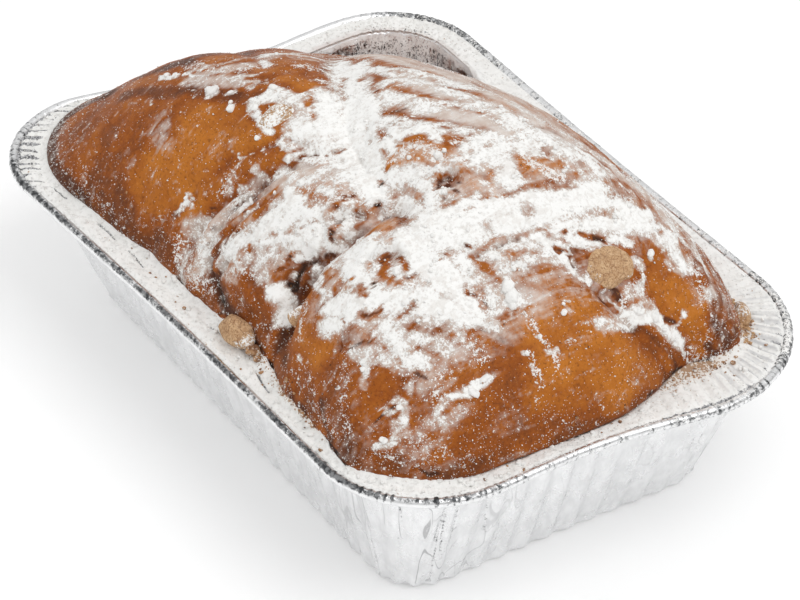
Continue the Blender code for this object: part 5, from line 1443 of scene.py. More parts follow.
def nut_material():
    mat, nt, shader = new_material("nut", 0.7)
    n = Net(nt)
    grit = n.noise(0.5, 4, 0.7)
    broad = n.noise(2.8, 3, 0.6)
    colour = n.mix(n.ramp(broad, 0.35, 0.65), (0.47, 0.275, 0.140), (0.63, 0.415, 0.235))
    colour = n.mix(n.ramp(grit, 0.50, 0.34), colour, (0.27, 0.135, 0.055))
    colour = n.mix(n.math("MULTIPLY", n.ramp(grit, 0.55, 0.66), 0.7), colour, (0.70, 0.53, 0.36))
    cracks = n.math("MULTIPLY", n.ramp(n.voronoi(1.9, "DISTANCE_TO_EDGE"), 0.07, 0.02), n.ramp(n.noise(2.4, 2), 0.42, 0.56))
    colour = n.mix(n.math("MULTIPLY", cracks, 0.65), colour, (0.22, 0.10, 0.045))
    skin = n.ramp(n.math("ADD", n.attr("skin"), n.math("MULTIPLY", n.math("SUBTRACT", broad, 0.5), 0.8)), 0.5, 0.62)
    colour = n.mix(skin, colour, (0.16, 0.065, 0.025))
    m = n.math("ADD", n.attr("sugar"), n.math("MULTIPLY", n.math("SUBTRACT", n.noise(0.6, 5, 0.75), 0.5), 1.2))
    powder = n.ramp(n.math("ADD", m, n.math("MULTIPLY", n.math("SUBTRACT", broad, 0.5), 0.5)), 0.50, 0.62)
    n.put(shader.inputs["Base Color"], n.mix(powder, colour, SUGAR))
    shader.inputs["Specular IOR Level"].default_value = 0.3
    n.put(shader.inputs["Normal"], n.bump(n.math("ADD", grit, n.math("MULTIPLY", powder, 0.6)), 0.5, 0.3))
    return mat


def crumb_material():
    mat, nt, shader = new_material("crumbs", 0.75)
    n = Net(nt)
    colour = n.mix(n.ramp(n.noise(1.6, 3, 0.6), 0.38, 0.62), (0.17, 0.070, 0.028), (0.45, 0.25, 0.12))
    powder = n.ramp(n.noise(0.9, 4, 0.7), 0.53, 0.60)
    n.put(shader.inputs["Base Color"], n.mix(powder, colour, (0.80, 0.77, 0.72)))
    n.put(shader.inputs["Normal"], n.bump(n.noise(0.5, 3, 0.7), 0.5, 0.2))
    return mat


def grain_material():
    mat, nt, shader = new_material("sugar_grains", 0.85)
    n = Net(nt)
    n.put(shader.inputs["Base Color"], n.mix(n.ramp(n.noise(1.0, 3, 0.6), 0.4, 0.6), (0.78, 0.765, 0.735), (0.88, 0.875, 0.86)))
    shader.inputs["Specular IOR Level"].default_value = 0.3
    n.put(shader.inputs["Normal"], n.bump(n.noise(0.25, 3, 0.7), 0.4, 0.1))
    return mat


def floor_material():
    mat, nt, shader = new_material("floor", 0.85)
    n = Net(nt)
    n.put(shader.inputs["Base Color"], n.mix(n.noise(90, 2), (0.90, 0.90, 0.90), (0.92, 0.92, 0.92)))
    shader.inputs["Emission Color"].default_value = (1, 1, 1, 1)
    shader.inputs["Emission Strength"].default_value = 0.16
    return mat


# -------------------------------------------------------------------- crust
V, F, INFO = build_crust()
sugar, grainy, tone_and_shade, film = paint_crust(V, INFO["fine"])
# Sugar stands on the crust: lumps where it is thick.
mesh = bpy.data.meshes.new("probe")
mesh.from_pydata(V.tolist(), [], F)
normals = np.zeros(len(V) * 3)
mesh.vertex_normals.foreach_get("vector", normals)
normals = normals.reshape(-1, 3)
bpy.data.meshes.remove(mesh)
lump = smooth(0.5, 1.0, sugar + 0.45 * fbm(V, 2.2, 3, seed=101))
stand = lump * (0.22 + 0.75 * np.maximum(0, fbm(V, 3.6, 3, seed=102)) + 0.22 * fbm(V, 1.3, 2, seed=103))
V = V + normals * (stand * (np.arange(len(V)) < INFO["top"]))[:, None]
crust = mesh_object("crust", V, F, crust_material(),
                    {"sugar": sugar, "grainy": grainy, "tone_and_shade": tone_and_shade, "film": film,
                     "back": smooth(14, 30, V[:, 1]) * smooth(-70, -40, V[:, 0])})
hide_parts("loaf")
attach(crust, "root")

tree = BVHTree.FromPolygons(V.tolist(), [list(map(int, f)) for f in F])


def on_crust(p):
    """The crust's nearest point to p, and the way out of it there."""
    place, normal, _, _ = tree.find_nearest(Vector(p))
    return np.array(place), np.array(normal)


# ----------------------------------------------------------------- the foil
T_RING = (228, 142, 80)


def ring_param(counts, cad=(40, 20, 8)):
    """How many of the solid's stations have gone by at each fine station, and how much of a corner it is."""
    k, corner, total = [], [], 0
    for c in range(4):
        k.append(total + cad[2] * np.arange(counts[2]) / counts[2])
        corner.append(np.sin(np.pi * np.arange(counts[2]) / counts[2]) ** 0.5)
        total += cad[2]
        n, m = (counts[1], cad[1]) if c % 2 == 0 else (counts[0], cad[0])
        k.append(total + m * np.arange(n) / n)
        corner.append(np.zeros(n))
        total += m
    return np.concatenate(k), np.concatenate(corner)


STATION, CORNER = ring_param(T_RING)
_rim, _, _ = outline(RIM, RIM_BOW, T_RING)
_step = np.linalg.norm(np.roll(_rim, -1, 0) - _rim, axis=1)
ARC = np.concatenate([[0], np.cumsum(_step)[:-1]])      # millimetres round the rim
AROUND = np.column_stack([_rim, np.zeros(len(_rim))])
NEAR = np.exp(-patch(_rim, 97, -60, 30, 30))
RIGHT = np.exp(-patch(_rim, 97, 62, 38, 38))
BACK = np.exp(-patch(_rim, -95, 63, 36, 36))
LEFT = np.exp(-patch(_rim, -99, -64, 30, 30))
FRONT_SIDE = smooth(-52, -60, _rim[:, 1]) * smooth(-100, -80, _rim[:, 0]) * smooth(96, 80, _rim[:, 0])
BACK_SIDE = smooth(52, 62, _rim[:, 1])
CORNER_SOFT = np.convolve(np.concatenate([CORNER[-12:], CORNER, CORNER[:12]]), np.ones(25) / 25, "valid")
RIGHT_SIDE = smooth(88, 96, _rim[:, 0]) * smooth(-56, -44, _rim[:, 1]) * smooth(52, 38, _rim[:, 1])
LEFT_END = smooth(-84, -94, _rim[:, 0]) * smooth(5, -20, _rim[:, 1])
# Wide folds fan out round the right corner.
FAN = ARC / 4.4 + 0.35 * gnoise(AROUND, 12, 208)
FOLD = np.abs(np.sin(np.pi * FAN)) ** 0.7
FURROW = np.exp(-((FAN - np.round(FAN)) / 0.13) ** 2)
# Each fold's shaded flank, where the sugar gets painted shade.
SHADED = smooth(0.0, 0.30, FAN - np.floor(FAN)) * smooth(0.55, 0.30, FAN - np.floor(FAN))
_tick = ARC / 3.3 + 0.3 * gnoise(AROUND, 9, 209)
TICK = np.exp(-((_tick - np.round(_tick)) / 0.12) ** 2)
FLECKS = fbm(AROUND, 2.0, 2, seed=226)
# The presses' pleats: a wave that runs round the corners, uneven in pitch.
PLEAT = np.sin(2 * np.pi * (ARC / 3.1 + 0.8 * gnoise(AROUND, 11.0, 201) + 0.15 * gnoise(AROUND, 3.0, 205)))
PLEAT = PLEAT * (0.75 + 0.5 * gnoise(AROUND, 4.0, 206))
CRIMP = np.sin(2 * np.pi * (ARC / 2.3 + 0.9 * gnoise(AROUND, 6.0, 202))) * (0.6 + 0.8 * gnoise(AROUND, 5.0, 207))


FLUTE_H = 0.62


def build_tin():
    rows, dust, dark, crease = [], [], [], []
    opening = FLANGE_W + 0.8
    thick = 0.42
    count = len(ARC)
    flute = -np.sign(np.cos(np.pi * STATION)) * np.abs(np.cos(np.pi * STATION)) ** 0.75
    flute_size = 1 + 0.35 * gnoise(AROUND, 17.0, 203)

    def blend(inset_foot, inset_rim, t, z, lift):
        fp, fd, _ = outline(FOOT, FOOT_BOW, T_RING, inset_foot)
        rp, rd, rl = outline(RIM, RIM_BOW, T_RING, inset_rim, RIM_SPRING)
        d = fd * (1 - t) + rd * t
        d /= np.linalg.norm(d, axis=1)[:, None]
        return fp * (1 - t) + rp * t, d, z + rl * lift

    rng_c = np.random.default_rng(31)
    creases = []
    for weight, cx, cy, n in ((1.0, 88, -52, 20), (0.7, 86, 54, 14), (0.7, -86, 54, 14), (0.8, -88, -52, 14)):
        for _ in range(n):
            a = math.atan2(cy, cx) + rng_c.uniform(-0.32, 0.32)
            at = np.argmin(np.abs(np.angle(np.exp(1j * (np.arctan2(_rim[:, 1], _rim[:, 0]) - a)))))
            creases.append((ARC[at], rng_c.uniform(-0.16, 0.16), rng_c.uniform(4, 40), rng_c.uniform(8, 20),
                            weight * rng_c.uniform(0.25, 0.75), rng_c.uniform(0.35, 0.7)))

    def wrinkles(p, z):
        P = np.column_stack([p, np.broadcast_to(z, (count,))])
        w = 0.30 * fbm(P, 15, 2, seed=210) + 0.05 * fbm(P, 3.0, 2, seed=211)
        zz = float(np.mean(z))
        for at, slant, mid, half, deep, wide in creases:
            off = ARC - at - slant * (zz - mid)
            off = (off + ARC[-1] / 2) % ARC[-1] - ARC[-1] / 2
            w = w - deep * np.exp(-np.abs(off) / wide) * smooth(half * 1.3, half * 0.5, abs(zz - mid))
        # Tight pleats run down the corners from the rim.
        w = w + 0.16 * CORNER_SOFT * PLEAT * smooth(8, 40, zz)
        return w

    # How deep a crease runs here, for painted shade along its line.
    def lines(zz):
        d = np.zeros(count)
        for at, slant, mid, half, deep, wide in creases:
            off = ARC - at - slant * (zz - mid)
            off = (off + ARC[-1] / 2) % ARC[-1] - ARC[-1] / 2
            d = np.maximum(d, deep * np.exp(-np.abs(off) / 0.5) * smooth(half * 1.3, half * 0.5, abs(zz - mid)))
        return d

    def wall(t, out):
        z = 2.6 + (FLANGE - 3.0 - 2.6) * t
        p, d, zz = blend(1.1, opening, t, z, t)
        size = (0.95 - 0.1 * t) * (1 - 0.55 * t ** 3)
        move = FLUTE_H * size * flute_size * flute * (1 - 0.55 * CORNER_SOFT) + 0.8 * math.sin(math.pi * t)
        move = move + wrinkles(p, zz) + (thick if out else 0.0)
        return p + d * move[:, None], zz

    def add(p, z, dusty=0.0, darker=0.0, creased=0.0):
        rows.append(np.column_stack([p, np.broadcast_to(z, (count,))]))
        crease.append(np.broadcast_to(creased, (count,)).astype(float))
        dust.append(np.broadcast_to(dusty, (count,)).astype(float))
        dark.append(np.broadcast_to(darker, (count,)).astype(float))

    # Inside: floor, up the wall, over the flange.
    middle = np.array([-1.0, -0.5])
    for inset, scale in ((12.0, 0.33), (12.0, 0.66), (12.0, 1.0), (5.5, 1.0)):
        p, d, zz = blend(inset, opening, 0.0, 0.0, 0.0)
        p = middle + (p - middle) * scale
        add(p, 0.62 + 0.10 * fbm(np.column_stack([p, np.zeros(count)]), 7, 2, seed=220))
    for a in (20, 45, 70):
        p, d, zz = blend(1.1 + 2.4 * (1 - math.sin(math.radians(a))), opening, 0.0, 0.0, 0.0)
        add(p + d * (FLUTE_H * 0.9 * flute * math.sin(math.radians(a)))[:, None], 0.6 + 2.0 * (1 - math.cos(math.radians(a))))
    for t in np.linspace(0.0, 1.0, 16):
        p, z = wall(t, False)
        add(p, z, 0.30 * smooth(0.4, 1.0, t) * (0.6 + RIGHT) * (1 - BACK) + 0.66 * BACK, 0.60 * BACK + 0.35 * BACK * smooth(0.0, 0.8, -PLEAT))
    lip = 0.30 * CORNER_SOFT * PLEAT
    for inset, z, share in ((9.55, -2.0, 0.9), (9.2, -1.1, 0.8), (8.8, -0.5, 0.7), (8.2, -0.15, 0.7), (7.4, 0.0, 0.8),
                            (6.4, 0.0, 0.9), (5.4, 0.0, 0.9), (4.4, 0.0, 0.8), (3.6, 0.0, 0.6), (3.0, 0.0, 0.4)):
        p, d, zz = blend(0.0, inset, 1.0, FLANGE + z, 1.0)
        P = np.column_stack([p, zz])
        add(p, zz + lip * share + 0.10 * fbm(P, 5, 2, seed=221),
            0.62 - 0.15 * FRONT_SIDE - 0.12 * LEFT_END, 0.15 + 0.55 * LEFT * (0.5 + 0.5 * PLEAT) + 0.3 * LEFT_END)
    # The rolled bead.
    crimp = CORNER_SOFT * (0.14 + 0.12 * NEAR + 0.14 * RIGHT)
    dents = 0.16 * fbm(AROUND, 7, 3, seed=222) + 0.05 * fbm(AROUND, 1.6, 2, seed=223)
    for degrees in np.linspace(163, -178, 17):
        a = math.radians(degrees)
        r = BEAD_R + dents + crimp * CRIMP * (0.6 + 0.4 * math.sin(a))
        inset = BEAD_R - r * math.cos(a)
        rp, rd, rl = outline(RIM, RIM_BOW, T_RING, 0.0, RIM_SPRING)
        p = rp - rd * inset[:, None]
        up = max(0.0, math.sin(a))
        side = smooth(-0.2, 0.9, math.cos(a))
        inner = smooth(0.4, -0.6, math.cos(a))
        specky = 0.20 + 0.26 * up * (BACK_SIDE + 0.6 * RIGHT + 0.5 * LEFT) - 0.12 * FRONT_SIDE + 0.20 * FLECKS \
            + RIGHT_SIDE * (0.16 + 0.22 * inner)
        # Painted reflection: a darker stripe at set angles round the bead; painted light and shade along its crimps.
        stripe = math.exp(-((degrees - 62) / 42) ** 2) + 0.5 * math.exp(-((degrees - 140) / 16) ** 2)
        line = 0.92 * FRONT_SIDE * stripe * (0.85 + 0.4 * gnoise(AROUND, 9, 225) - 0.4 * smooth(0.15, 0.5, FLECKS)) \
            + NEAR * (0.70 * stripe + 0.55 * smooth(0.1, 0.8, CRIMP) - 0.15) \
            + 0.42 * LEFT * (0.6 + 0.9 * smooth(0.0, 0.7, CRIMP)) \
            + RIGHT * (0.22 + 0.65 * smooth(-0.1, 0.7, CRIMP + FLECKS)) + BACK_SIDE * (0.30 + 0.5 * FLECKS) \
            + 0.40 * BACK + 0.55 * RIGHT_SIDE * math.exp(-((degrees - 118) / 16) ** 2) * (0.7 + FLECKS) \
            + RIGHT_SIDE * (0.30 + 0.35 * FLECKS) * smooth(110, 60, degrees) * smooth(-80, -30, degrees)
        add(p, TIN_H - BEAD_R + r * math.sin(a) + rl, specky, line)
    # Back under the flange and down the outside.
    for inset in (3.4, 5.2, 7.0, 8.4, 9.2):
        p, d, zz = blend(0.0, inset, 1.0, FLANGE - thick - (0.0 if inset < 8 else 0.5 * (inset - 8)), 1.0)
        add(p, zz + lip * 0.8)
    # Down the outside, with painted shade along the creases.
    for t in np.linspace(1.0, 0.0, 30):
        p, z = wall(t, True)
        add(p, z, 0.02, 0.06 * NEAR + 0.85 * lines(float(np.mean(z))),
            np.clip(1.0 * NEAR ** 0.7 + 0.45 * RIGHT + 0.45 * BACK + 0.45 * LEFT + 0.06, 0, 1))
    for a in (75, 55, 35, 12):
        p, d, zz = blend(1.1 + 2.6 * (1 - math.sin(math.radians(a))), opening, 0.0, 0.0, 0.0)
        add(p + d * (thick + FLUTE_H * 0.9 * flute * flute_size * math.sin(math.radians(a)))[:, None],
            0.08 + 2.45 * (1 - math.cos(math.radians(a))), 0.0, 0.1)
    for inset, scale in ((5.5, 1.0), (12.0, 1.0), (12.0, 0.66), (12.0, 0.33)):
        p, d, zz = blend(inset, opening, 0.0, 0.0, 0.0)
        p = middle + (p - middle) * scale
        raised = 0.10 if inset < 7 else 0.16
        add(p, raised + 0.05 * fbm(np.column_stack([p, np.zeros(count)]), 7, 2, seed=224))
    n = len(rows)
    base = np.arange(count)
    faces = []
    for r in range(n - 1):
        a, b = base + r * count, base + (r + 1) * count
        faces.append(np.stack([a, np.roll(a, -1), np.roll(b, -1), b], -1))
    quads = np.concatenate(faces).tolist()
    # The floor's two middles.
    for row, z, turn in ((0, 0.62, -1), (n - 1, 0.16, 1)):
        hub = n * count + (0 if row == 0 else 1)
        ring = base + row * count
        for a, b in zip(ring, np.roll(ring, -1)):
            quads.append([hub, b, a] if turn < 0 else [a, b, hub])
        rows.append(np.array([[middle[0], middle[1], z]]))
        dust.append(np.zeros(1))
        dark.append(np.zeros(1))
        crease.append(np.zeros(1))
    return np.concatenate(rows), quads, {"dust": np.concatenate(dust), "dark": np.concatenate(dark),
                                          "crease": np.concatenate(crease)}


TV, TF, TA = build_tin()
tin = mesh_object("tin", TV, TF, foil_material(), TA)
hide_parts("foil_tin")
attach(tin, "root")


# ------------------------------------------------------- sugar on the flange
def build_flange_sugar():
    bead, out, lift = outline(RIM, RIM_BOW, T_RING, 2 * BEAD_R - 0.5, RIM_SPRING)
    opening, _, _ = outline(RIM, RIM_BOW, T_RING, FLANGE_W + 0.5, RIM_SPRING)
    edge, _, _ = outline(CRUST, CRUST_BOW, T_RING)
    for cx, cy, r, mm in CRUST_EDGE:
        edge = edge + out * mm * np.exp(-((edge - (cx, cy)) ** 2).sum(1) / r ** 2)[:, None]
    # Where the crust has drawn back into the tin, the sugar ends at the opening.
    empty = smooth(0.20, 0.42, BACK)[:, None]
    inner = (edge - out * 1.9) * (1 - empty) + opening * empty
    count = len(ARC)
    rows, thin, crumbs, painted_shade = [], [], [], []
    lip = 0.30 * CORNER_SOFT * PLEAT
    n_rows = 26
    width = ((bead - inner) * out).sum(1)
    for j in range(n_rows):
        t = j / (n_rows - 1)
        p = inner * (1 - t) + bead * t
        P = np.column_stack([p, np.zeros(count)])
        body = 0.75 + 0.75 * fbm(P, 11, 3, seed=301) + 0.55 * fbm(P, 2.6, 3, seed=302) + 0.5 * fbm(P, 5.5, 2, seed=307) * FRONT_SIDE
        fan = RIGHT * smooth(0.18, 0.42, t) * smooth(0.99, 0.88, t)
        body = body * (1 - 0.6 * fan)
        # Heaped against the crust at the right corner and along the left end.
        heap = 0.5 * np.exp(-patch(p, 96, 48, 12, 14)) + 0.7 * np.exp(-patch(p, 78, 60, 20, 10)) \
            + 0.9 * np.exp(-patch(p, 20, -61, 30, 8)) + 1.2 * np.exp(-patch(p, 60, -62, 22, 8))
        heap = heap * smooth(0.85, 0.1, t)
        # Thin under the front fold's overhang, with a dark line of painted shade there.
        gap = np.exp(-patch(p, 97, -10, 6, 24)) * smooth(0.35, 0.05, t)
        body = body * (1 - 0.9 * gap) + heap
        # It has slid down the loaf and lies banked against its foot.
        bank = (1.7 + 0.9 * fbm(P, 7, 2, seed=305)) * smooth(0.55, 0.0, (t * width - 1.2) / 5.0) * (1 - empty[:, 0]) * (1 - gap)
        # Hardly any under the front fold and where the back fold comes down beside it.
        bank = bank * (1 - 0.85 * smooth(86, 94, p[:, 0]) * smooth(52, 30, p[:, 1]) * smooth(-50, -30, p[:, 1]))
        body = body + bank
        crack_at = 0.45 + 0.25 * gnoise(AROUND, 30, 303)
        crack = np.exp(-((t - crack_at) * width / 0.35) ** 2) * smooth(0.05, 0.3, gnoise(AROUND, 14, 304)) * FRONT_SIDE
        fade = smooth(1.0, 0.86, t) * (0.25 + 0.75 * smooth(0.0, 0.12, t) + 0.3 * (heap > 1))
        body = np.maximum(0.06, body * np.clip(fade, 0, 1) * (1 - 0.9 * crack))
        band = np.exp(-((t - 0.55) / 0.22) ** 2)
        ribs = lip * 0.8 + fan * (2.0 * FOLD * (0.8 + 0.5 * gnoise(AROUND, 7, 211)) - 0.25) + 0.45 * LEFT * band * PLEAT
        z = FLANGE + lift + ribs + np.maximum(body, 0.06 - np.minimum(ribs, 0))
        if t > 0.93:
            z = z + (t - 0.93) / 0.07 * 0.25
        rows.append(np.column_stack([p, z]))
        ticks = smooth(0.55, 1.0, -PLEAT) * CORNER_SOFT
        worn = smooth(-0.1, 0.5, fbm(P, 9, 3, seed=306))
        # Foil showing through: real cracks, ticks, wear and thin edges; in the right corner's furrows and under the
        # front fold's overhang it is painted shade.
        bare = 0.06 + 0.85 * crack + TICK * 0.85 * smooth(0.25, 0.6, LEFT) * smooth(0.30, 0.5, t) + 0.2 * ticks * BACK \
            + fan * FURROW * (0.50 + 0.45 * smooth(-0.1, 0.3, fbm(P, 5, 2, seed=308))) \
            + 0.36 * smooth(0.82, 1.0, t) + 0.42 * LEFT_END * smooth(0.25, 0.6, t) * (0.6 + 0.8 * worn) \
            + 0.34 * BACK * smooth(0.45, 0.1, t) + 0.25 * BACK * worn + 0.5 * gap \
            + 0.45 * FRONT_SIDE * smooth(0.10, 0.0, t) * smooth(-0.2, 0.3, fbm(P, 4, 2, seed=309)) \
            + 0.40 * RIGHT_SIDE * smooth(0.90, 0.97, t)
        thin.append(bare)
        # Painted shade: the right corner's furrows and shaded flanks, the left corner's ticks, and under the front
        # fold's overhang.
        painted_shade.append(fan * np.maximum(SHADED, FURROW) + 0.5 * smooth(0.25, 0.6, LEFT) * TICK * smooth(0.1, 0.4, t) + 0.35 * gap)
        crumbs.append(1.2 * (np.exp(-patch(p, 55, -63, 20, 6)) + np.exp(-patch(p, 18, -62, 12, 5)) * 0.7
                             + np.exp(-patch(p, 92, 34, 10, 12)) * 0.9 + np.exp(-patch(p, 84, 58, 10, 7)) * 0.8)
                      * smooth(0.6, 0.1, t))
    # Underneath, on the foil.
    for t in (1.0, 0.5, 0.0):
        p = inner * (1 - t) + bead * t
        rows.append(np.column_stack([p, FLANGE + lift + lip * 0.85 + 0.02]))
        thin.append(np.zeros(count))
        painted_shade.append(np.zeros(count))
        crumbs.append(np.zeros(count))
    n = len(rows)
    base = np.arange(count)
    faces = []
    for r in range(n):
        a, b = base + r * count, base + ((r + 1) % n) * count
        faces.append(np.stack([a, np.roll(a, -1), np.roll(b, -1), b], -1))
    return np.concatenate(rows), np.concatenate(faces).tolist(), {"thin": np.concatenate(thin), "crumbs": np.concatenate(crumbs),
                                                       "painted_shade": np.concatenate(painted_shade)}


SV, SF, SA = build_flange_sugar()
flange_sugar = mesh_object("flange_sugar", SV, SF, sugar_material("sugar_layer"), SA)
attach(flange_sugar, "root")


# ------------------------------------------------------------- small pieces
def ico(level):
    bm = bmesh.new()
    bmesh.ops.create_icosphere(bm, subdivisions=level, radius=1.0)
    v = np.array([x.co[:] for x in bm.verts])
    f = np.array([[q.index for q in x.verts] for x in bm.faces])
    bm.free()
    return v, f


def basis(normal, turn):
    z = np.asarray(normal, float)
    z = z / (np.linalg.norm(z) + 1e-12)
    a = np.cross(z, (0, 0, 1) if abs(z[2]) < 0.95 else (1, 0, 0))
    a /= np.linalg.norm(a)
    b = np.cross(z, a)
    c, s = math.cos(turn), math.sin(turn)
    return np.stack([a * c + b * s, -a * s + b * c, z], 1)


class Pile:
    """Many small closed lumps joined into one mesh."""

    def __init__(self):
        self.v, self.f, self.n = [], [], 0

    def add(self, verts, faces):
        self.v.append(verts)
        self.f.append(faces + self.n)
        self.n += len(verts)

    def mesh(self, name, mat, slot, attrs=None):
        obj = mesh_object(name, np.concatenate(self.v), np.concatenate(self.f).tolist(), mat, attrs)
        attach(obj, "root")
        return obj


ICO = {k: ico(k) for k in (1, 2, 3, 4)}


def lumpy(level, size, place, normal, turn, rough, seed, sink_share=0.25):
    """A lump of the given half sizes, sitting on a surface."""
    v, f = ICO[level]
    k = 1 + rough * fbm(v + seed * 7.3, 0.9, 3 if level > 2 else 1, seed=400 + seed % 50)
    q = v * k[:, None] * np.array(size)
    q[:, 2] += size[2] * (1 - 2 * sink_share)
    return q @ basis(normal, turn).T + place, f


# Lumps of sugar big enough to see one by one: place, half sizes.
CLODS = (
    ((-41, -33, 84), (1.7, 1.6, 0.9)),
    ((-43, -33, 83), (1.1, 1.0, 0.7)),
    ((-41, -32, 84), (1.2, 0.9, 0.8)),
    ((-30, -34, 85), (1.2, 1.1, 0.8)),
    ((-35, -31, 86), (0.9, 0.6, 0.5)),
    ((-32, -33, 86), (0.7, 0.6, 0.5)),
    ((-14, -35, 85), (0.8, 0.8, 0.5)),
    ((-65, -34, 76), (1.4, 0.7, 0.6)),
    ((-62, -33, 77), (1.2, 0.7, 0.5)),
    ((74, -13, 82), (1.9, 1.7, 1.2)),
    ((76, -13, 80), (2.1, 1.8, 1.1)),
    ((78, -14, 79), (1.2, 1.0, 0.8)),
    ((70, -7, 84), (1.0, 0.9, 0.6)),
    ((71, -6, 84), (0.8, 0.7, 0.5)),
    ((73, 32, 74), (1.3, 1.0, 0.8)),
    ((67, -52, 69), (1.0, 0.9, 0.6)),
    ((68, -53, 68), (0.8, 0.7, 0.5)),
    ((84, -2, 76), (1.0, 0.8, 0.6)),
    ((82, -1, 77), (0.5, 0.5, 0.4)),
    ((86, -11, 73), (0.7, 0.6, 0.5)),
    ((88, -16, 71), (0.8, 0.6, 0.5)),
    ((33, -8, 97), (1.1, 1.4, 0.7)),
    ((28, -14, 96), (0.7, 0.7, 0.5)),
    ((33, -6, 98), (0.7, 0.6, 0.4)),
    ((62, 32, 83), (1.0, 0.7, 0.6)),
    ((44, -13, 94), (0.9, 0.8, 0.6)),
    ((-26, -23, 90), (1.2, 0.9, 0.7)),
    ((-1, -45, 76), (1.2, 0.5, 0.5)),
    ((56, -35, 84), (1.2, 0.9, 0.6)),
    ((12, -37, 86), (0.9, 0.5, 0.4)),
    ((6, -42, 82), (0.6, 0.4, 0.4)),
    ((-24, -52, 66), (0.8, 0.5, 0.4)),
    ((-59, -32, 79), (0.8, 0.4, 0.4)),
    ((83, -56, 56), (1.2, 0.9, 0.6)),
    ((81, -50, 63), (1.0, 0.7, 0.5)),
    ((88, -29, 68), (1.6, 0.9, 0.6)),
    ((89, -33, 66), (1.7, 1.0, 0.7)),
    ((85, 26, 64), (1.6, 1.1, 0.7)),
    ((84, 21, 67), (1.4, 1.0, 0.6)),
)
pile = Pile()
crng = np.random.default_rng(41)
for k, (p, size) in enumerate(CLODS):
    place, normal = on_crust(p)
    v, f = lumpy(3, np.array(size), place, normal, crng.uniform(0, 6.28), 0.55, k, 0.35)
    pile.add(v, f)
# A few lie on the flange.
span = np.nonzero(FRONT_SIDE + RIGHT_SIDE + RIGHT + NEAR > 0.5)[0]
for k, i in enumerate(crng.choice(span, 150)):
    j = crng.integers(3, 20)
    r = 0.35 + 0.65 * crng.random() ** 2
    v, f = lumpy(2, np.array([r, r * crng.uniform(0.6, 1.0), r * 0.6]), SV[j * len(ARC) + i], (0, 0, 1), crng.uniform(0, 6.28), 0.5, k + 400, 0.35)
    pile.add(v, f)
# Small ones that lie in the folds and along the foot of the crust.
top = INFO["top"]
weight = smooth(0.45, 0.9, sugar[:top]) * (0.3 + smooth(0.0, 0.5, fbm(V[:top], 9, 2, seed=501))) \
    * (np.hypot(V[:top, 0] - 79, V[:top, 1] - 16) > 13)
picks = crng.choice(top, 260, p=weight / weight.sum())
for k, i in enumerate(picks):
    r = 0.30 + 0.40 * crng.random() ** 2
    v, f = lumpy(2, np.array([r, r * crng.uniform(0.7, 1.0), r * 0.7]), V[i], normals[i], crng.uniform(0, 6.28), 0.5, k + 60, 0.35)
    pile.add(v, f)
pile.mesh("sugar_clods", sugar_material("sugar_lumps"), "sugar")

# Loose grains.
pile = Pile()
octa_v = np.array([(1, 0, 0), (0, 1, 0), (-1, 0, 0), (0, -1, 0), (0, 0, 1), (0, 0, -1)], float)
octa_f = np.array([(0, 1, 4), (1, 2, 4), (2, 3, 4), (3, 0, 4), (1, 0, 5), (2, 1, 5), (3, 2, 5), (0, 3, 5)])


def scatter(points, ways, sizes):
    for p, nrm, r in zip(points, ways, sizes):
        turn = basis(crng.normal(size=3), crng.uniform(0, 6.28))
        v = octa_v * (r * crng.uniform(0.65, 1.1, 3))
        pile.add(v @ turn.T + p + nrm * r * 0.35, octa_f)


weight = np.clip(0.06 + 0.9 * grainy[:top] + 0.6 * sugar[:top] * (1 - sugar[:top]), 0, 1.2) \
    * (0.35 + smooth(-0.1, 0.5, fbm(V[:top], 6, 3, seed=505)))
picks = crng.choice(top, 13000, p=weight / weight.sum())
jitter = crng.normal(size=(len(picks), 3)) * 0.15
scatter(V[picks] + jitter * (1, 1, 0.3), normals[picks], crng.uniform(0.08, 0.20, len(picks)) * (1 + 0.9 * (crng.random(len(picks)) > 0.95)))
n_sv = len(ARC) * 26
weight = 0.4 + SA["thin"][:n_sv]
picks = crng.choice(n_sv, 3500, p=weight / weight.sum())
jitter = crng.normal(size=(len(picks), 3)) * (0.25, 0.25, 0.02)
scatter(SV[picks] + jitter, np.repeat([[0, 0, 1.0]], len(picks), 0), crng.uniform(0.14, 0.32, len(picks)))
pile.mesh("sugar_grains", grain_material(), "sugar")

# Crumbs of crust and nut: middle of the patch, spread, how many, half sizes.
CRUMBS = (((42, -62.2), (4.5, 1.2), 7, (0.3, 0.75)), ((53, -63.2), (4.0, 1.2), 9, (0.35, 0.9)),
          ((62, -63.2), (5.0, 1.2), 10, (0.3, 0.8)), ((30, -62.8), (3.0, 1.0), 4, (0.3, 0.6)),
          ((86, 56.0), (2.5, 1.4), 10, (0.3, 0.7)),
          ((94, 36.0), (1.2, 5.0), 16, (0.3, 0.8)), ((-20, -63.5), (16, 1.2), 10, (0.3, 0.7)),
          ((100, 0), (1.5, 22), 10, (0.3, 0.6)))
NUT_CRUMBS = (((79.0, 58.4), (2.4, 0.9), 26, (0.25, 0.8)), ((84.0, 56.5), (2.4, 1.0), 42, (0.25, 0.85)),
              ((88.0, 53.5), (1.5, 1.5), 20, (0.2, 0.6)))
flange_tree = BVHTree.FromPolygons(SV.tolist(), [list(map(int, f)) for f in SF])


